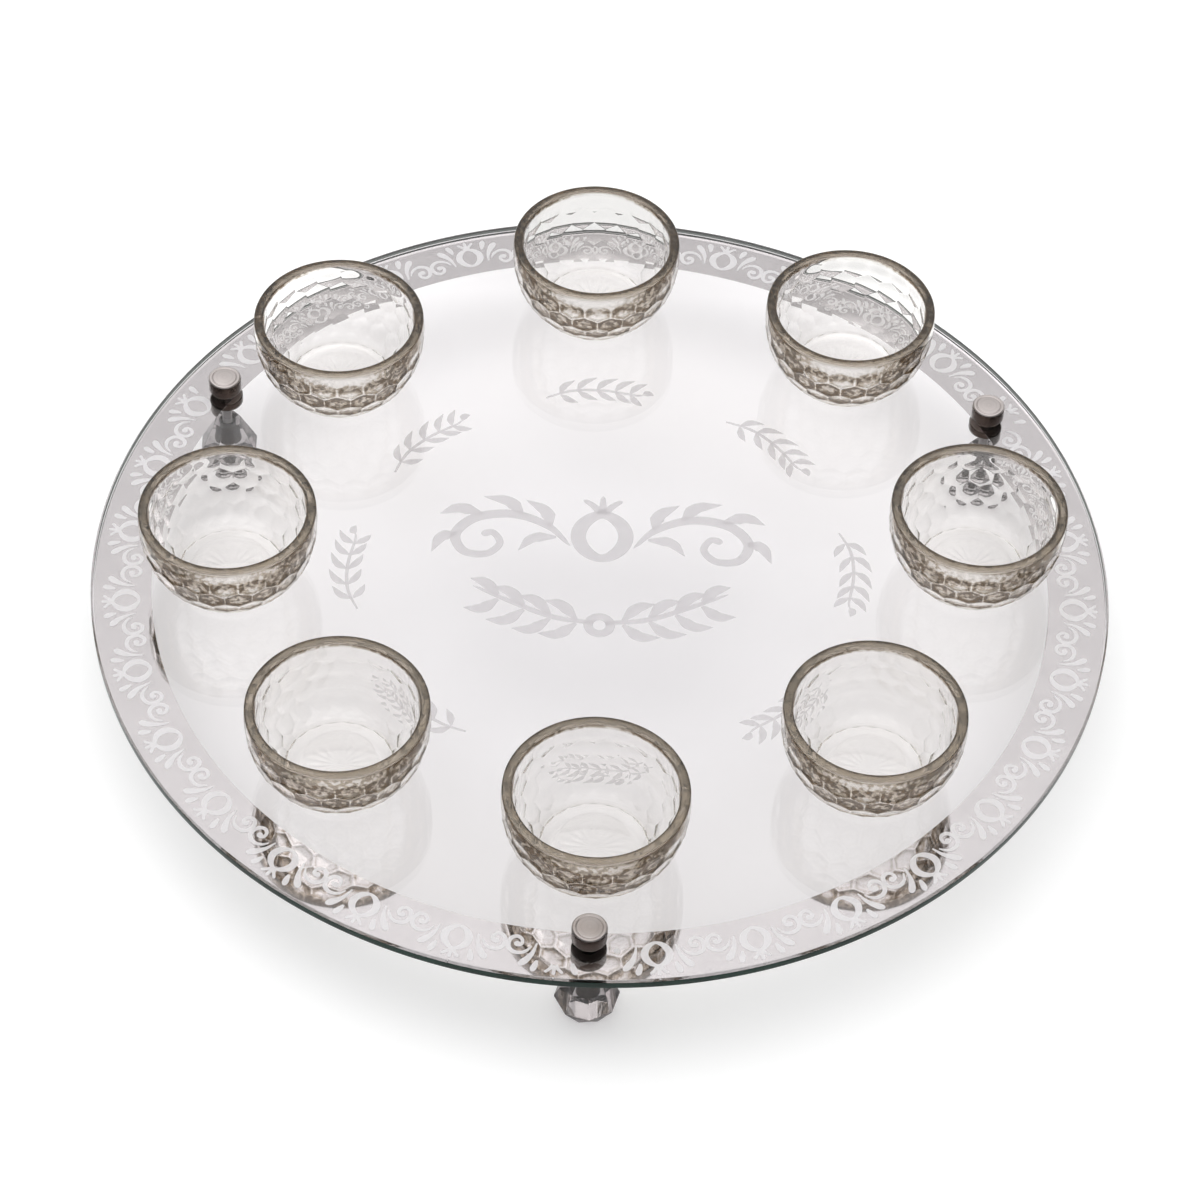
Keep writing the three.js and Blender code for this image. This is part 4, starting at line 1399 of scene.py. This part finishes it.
class PLATE_OT_feet(Operator):
    """Makes the three cut crystal feet"""

    bl_idname = "festive_plate.feet"
    bl_label = "Crystal feet"

    def execute(self, context):
        settings = context.scene.plate_posts
        crystal = glass_material(
            "cut crystal", settings.crystal_tint, settings.crystal_slant, slant=(0.1, 0.6),
            ior=1.58, ripple=(60.0, 0.005), absorption=settings.crystal_body, density=35.0,
            shadow=(0.84, 0.82, 0.83))
        # Painted shade: the socket's wall and floor take the dark colour of the caps' sides.
        socket_shade = metal_material(
            "socket in painted shade", settings.cap_side, shade=1.5, roughness=0.3, marks=(5000.0, 0.25))
        for name in POST_NAMES:
            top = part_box(f"{name}_crystal_foot")[1].z
            points, faces, slots = faceted_foot(settings, math.radians(FOOT_TURNS[name]), top)
            foot = mesh_object(f"{name}_cut_foot", points + middle(f"{name}_cap"), faces,
                               smooth=False, corner_uv=upright_uv(points, faces), face_slots=slots)
            bevel = foot.modifiers.new("rounded edges", "BEVEL")
            bevel.width = 0.12 * MM
            bevel.segments = 2
            bevel.limit_method = "ANGLE"
            bevel.angle_limit = math.radians(12)
            dress(foot, ROOT_BODY, [crystal, socket_shade], [f"{name}_crystal_foot"])
        return {"FINISHED"}


class PLATE_OT_bowls(Operator):
    """Makes the eight pressed-glass dip bowls"""

    bl_idname = "festive_plate.bowls"
    bl_label = "Dip bowls"

    def execute(self, context):
        settings = context.scene.plate_bowls
        pressed = glass_material(
            "pressed glass", settings.glass_tint, settings.glass_slant, slant=(0.24, 0.46),
            ior=1.52, ripple=(120.0, 0.03), absorption=settings.glass_body, density=12.0,
            shadow=(0.94, 0.935, 0.92), skin="skin")
        form = BowlForm(settings)
        points, faces = welded(*form.skin())
        marks = form.marks(points)
        for name, angle in BOWL_ANGLES.items():
            turn = math.radians(angle + BOWL_RING_TURN)
            cosine, sine = math.cos(turn), math.sin(turn)
            spin = np.array([[cosine, sine, 0], [-sine, cosine, 0], [0, 0, 1]])
            place = middle(name) + [0, 0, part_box(name)[0].z + AIR_GAP]
            bowl = mesh_object(f"{name}_pressed", points[:, :3] @ spin + place, faces)
            skin = bowl.data.attributes.new("skin", "FLOAT", "POINT")
            skin.data.foreach_set("value", marks)
            dress(bowl, name, [pressed], [name])
        return {"FINISHED"}


class PLATE_PT_sidebar(Panel):
    """Lists the plate's pieces in the sidebar"""

    bl_label = "Festive Plate"
    bl_idname = "PLATE_PT_sidebar"
    bl_space_type = "VIEW_3D"
    bl_region_type = "UI"
    bl_category = "Festive Plate"

    def draw(self, context):
        for operator in PIECE_OPERATORS:
            self.layout.operator(operator.bl_idname)
        for name, (label, _) in SETTINGS.items():
            settings = getattr(context.scene, name)
            box = self.layout.box()
            box.label(text=label)
            for key in settings.__annotations__:
                box.prop(settings, key)


PIECE_OPERATORS = (
    PLATE_OT_stage, PLATE_OT_sheet, PLATE_OT_border, PLATE_OT_frosting, PLATE_OT_posts,
    PLATE_OT_feet, PLATE_OT_bowls,
)
SETTINGS = {
    "plate_sheet": ("Sheet and border", PlateSettings),
    "plate_posts": ("Posts and feet", PostSettings),
    "plate_bowls": ("Dip bowls", BowlSettings),
    "plate_stage": ("Stage", StageSettings),
}
CLASSES = tuple(cls for _, cls in SETTINGS.values()) + PIECE_OPERATORS + (PLATE_PT_sidebar,)


def register():
    for cls in CLASSES:
        bpy.utils.register_class(cls)
    for name, (_, cls) in SETTINGS.items():
        setattr(bpy.types.Scene, name, PointerProperty(type=cls))


def unregister():
    for name in SETTINGS:
        delattr(bpy.types.Scene, name)
    for cls in reversed(CLASSES):
        bpy.utils.unregister_class(cls)


def set_render_paths(scene):
    """Enough bounces for light to cross several walls of glass, and plain view colours."""
    scene.view_settings.view_transform = "Standard"
    cycles = scene.cycles
    cycles.max_bounces = cycles.transmission_bounces = 32
    cycles.glossy_bounces = 16
    cycles.transparent_max_bounces = 64
    cycles.caustics_reflective = cycles.caustics_refractive = False


def main():
    register()
    set_render_paths(bpy.context.scene)
    bpy.ops.festive_plate.stage()
    bpy.ops.festive_plate.sheet()
    bpy.ops.festive_plate.border()
    bpy.ops.festive_plate.frosting()
    bpy.ops.festive_plate.posts()
    bpy.ops.festive_plate.feet()
    bpy.ops.festive_plate.bowls()


if __name__ == "__main__":
    main()
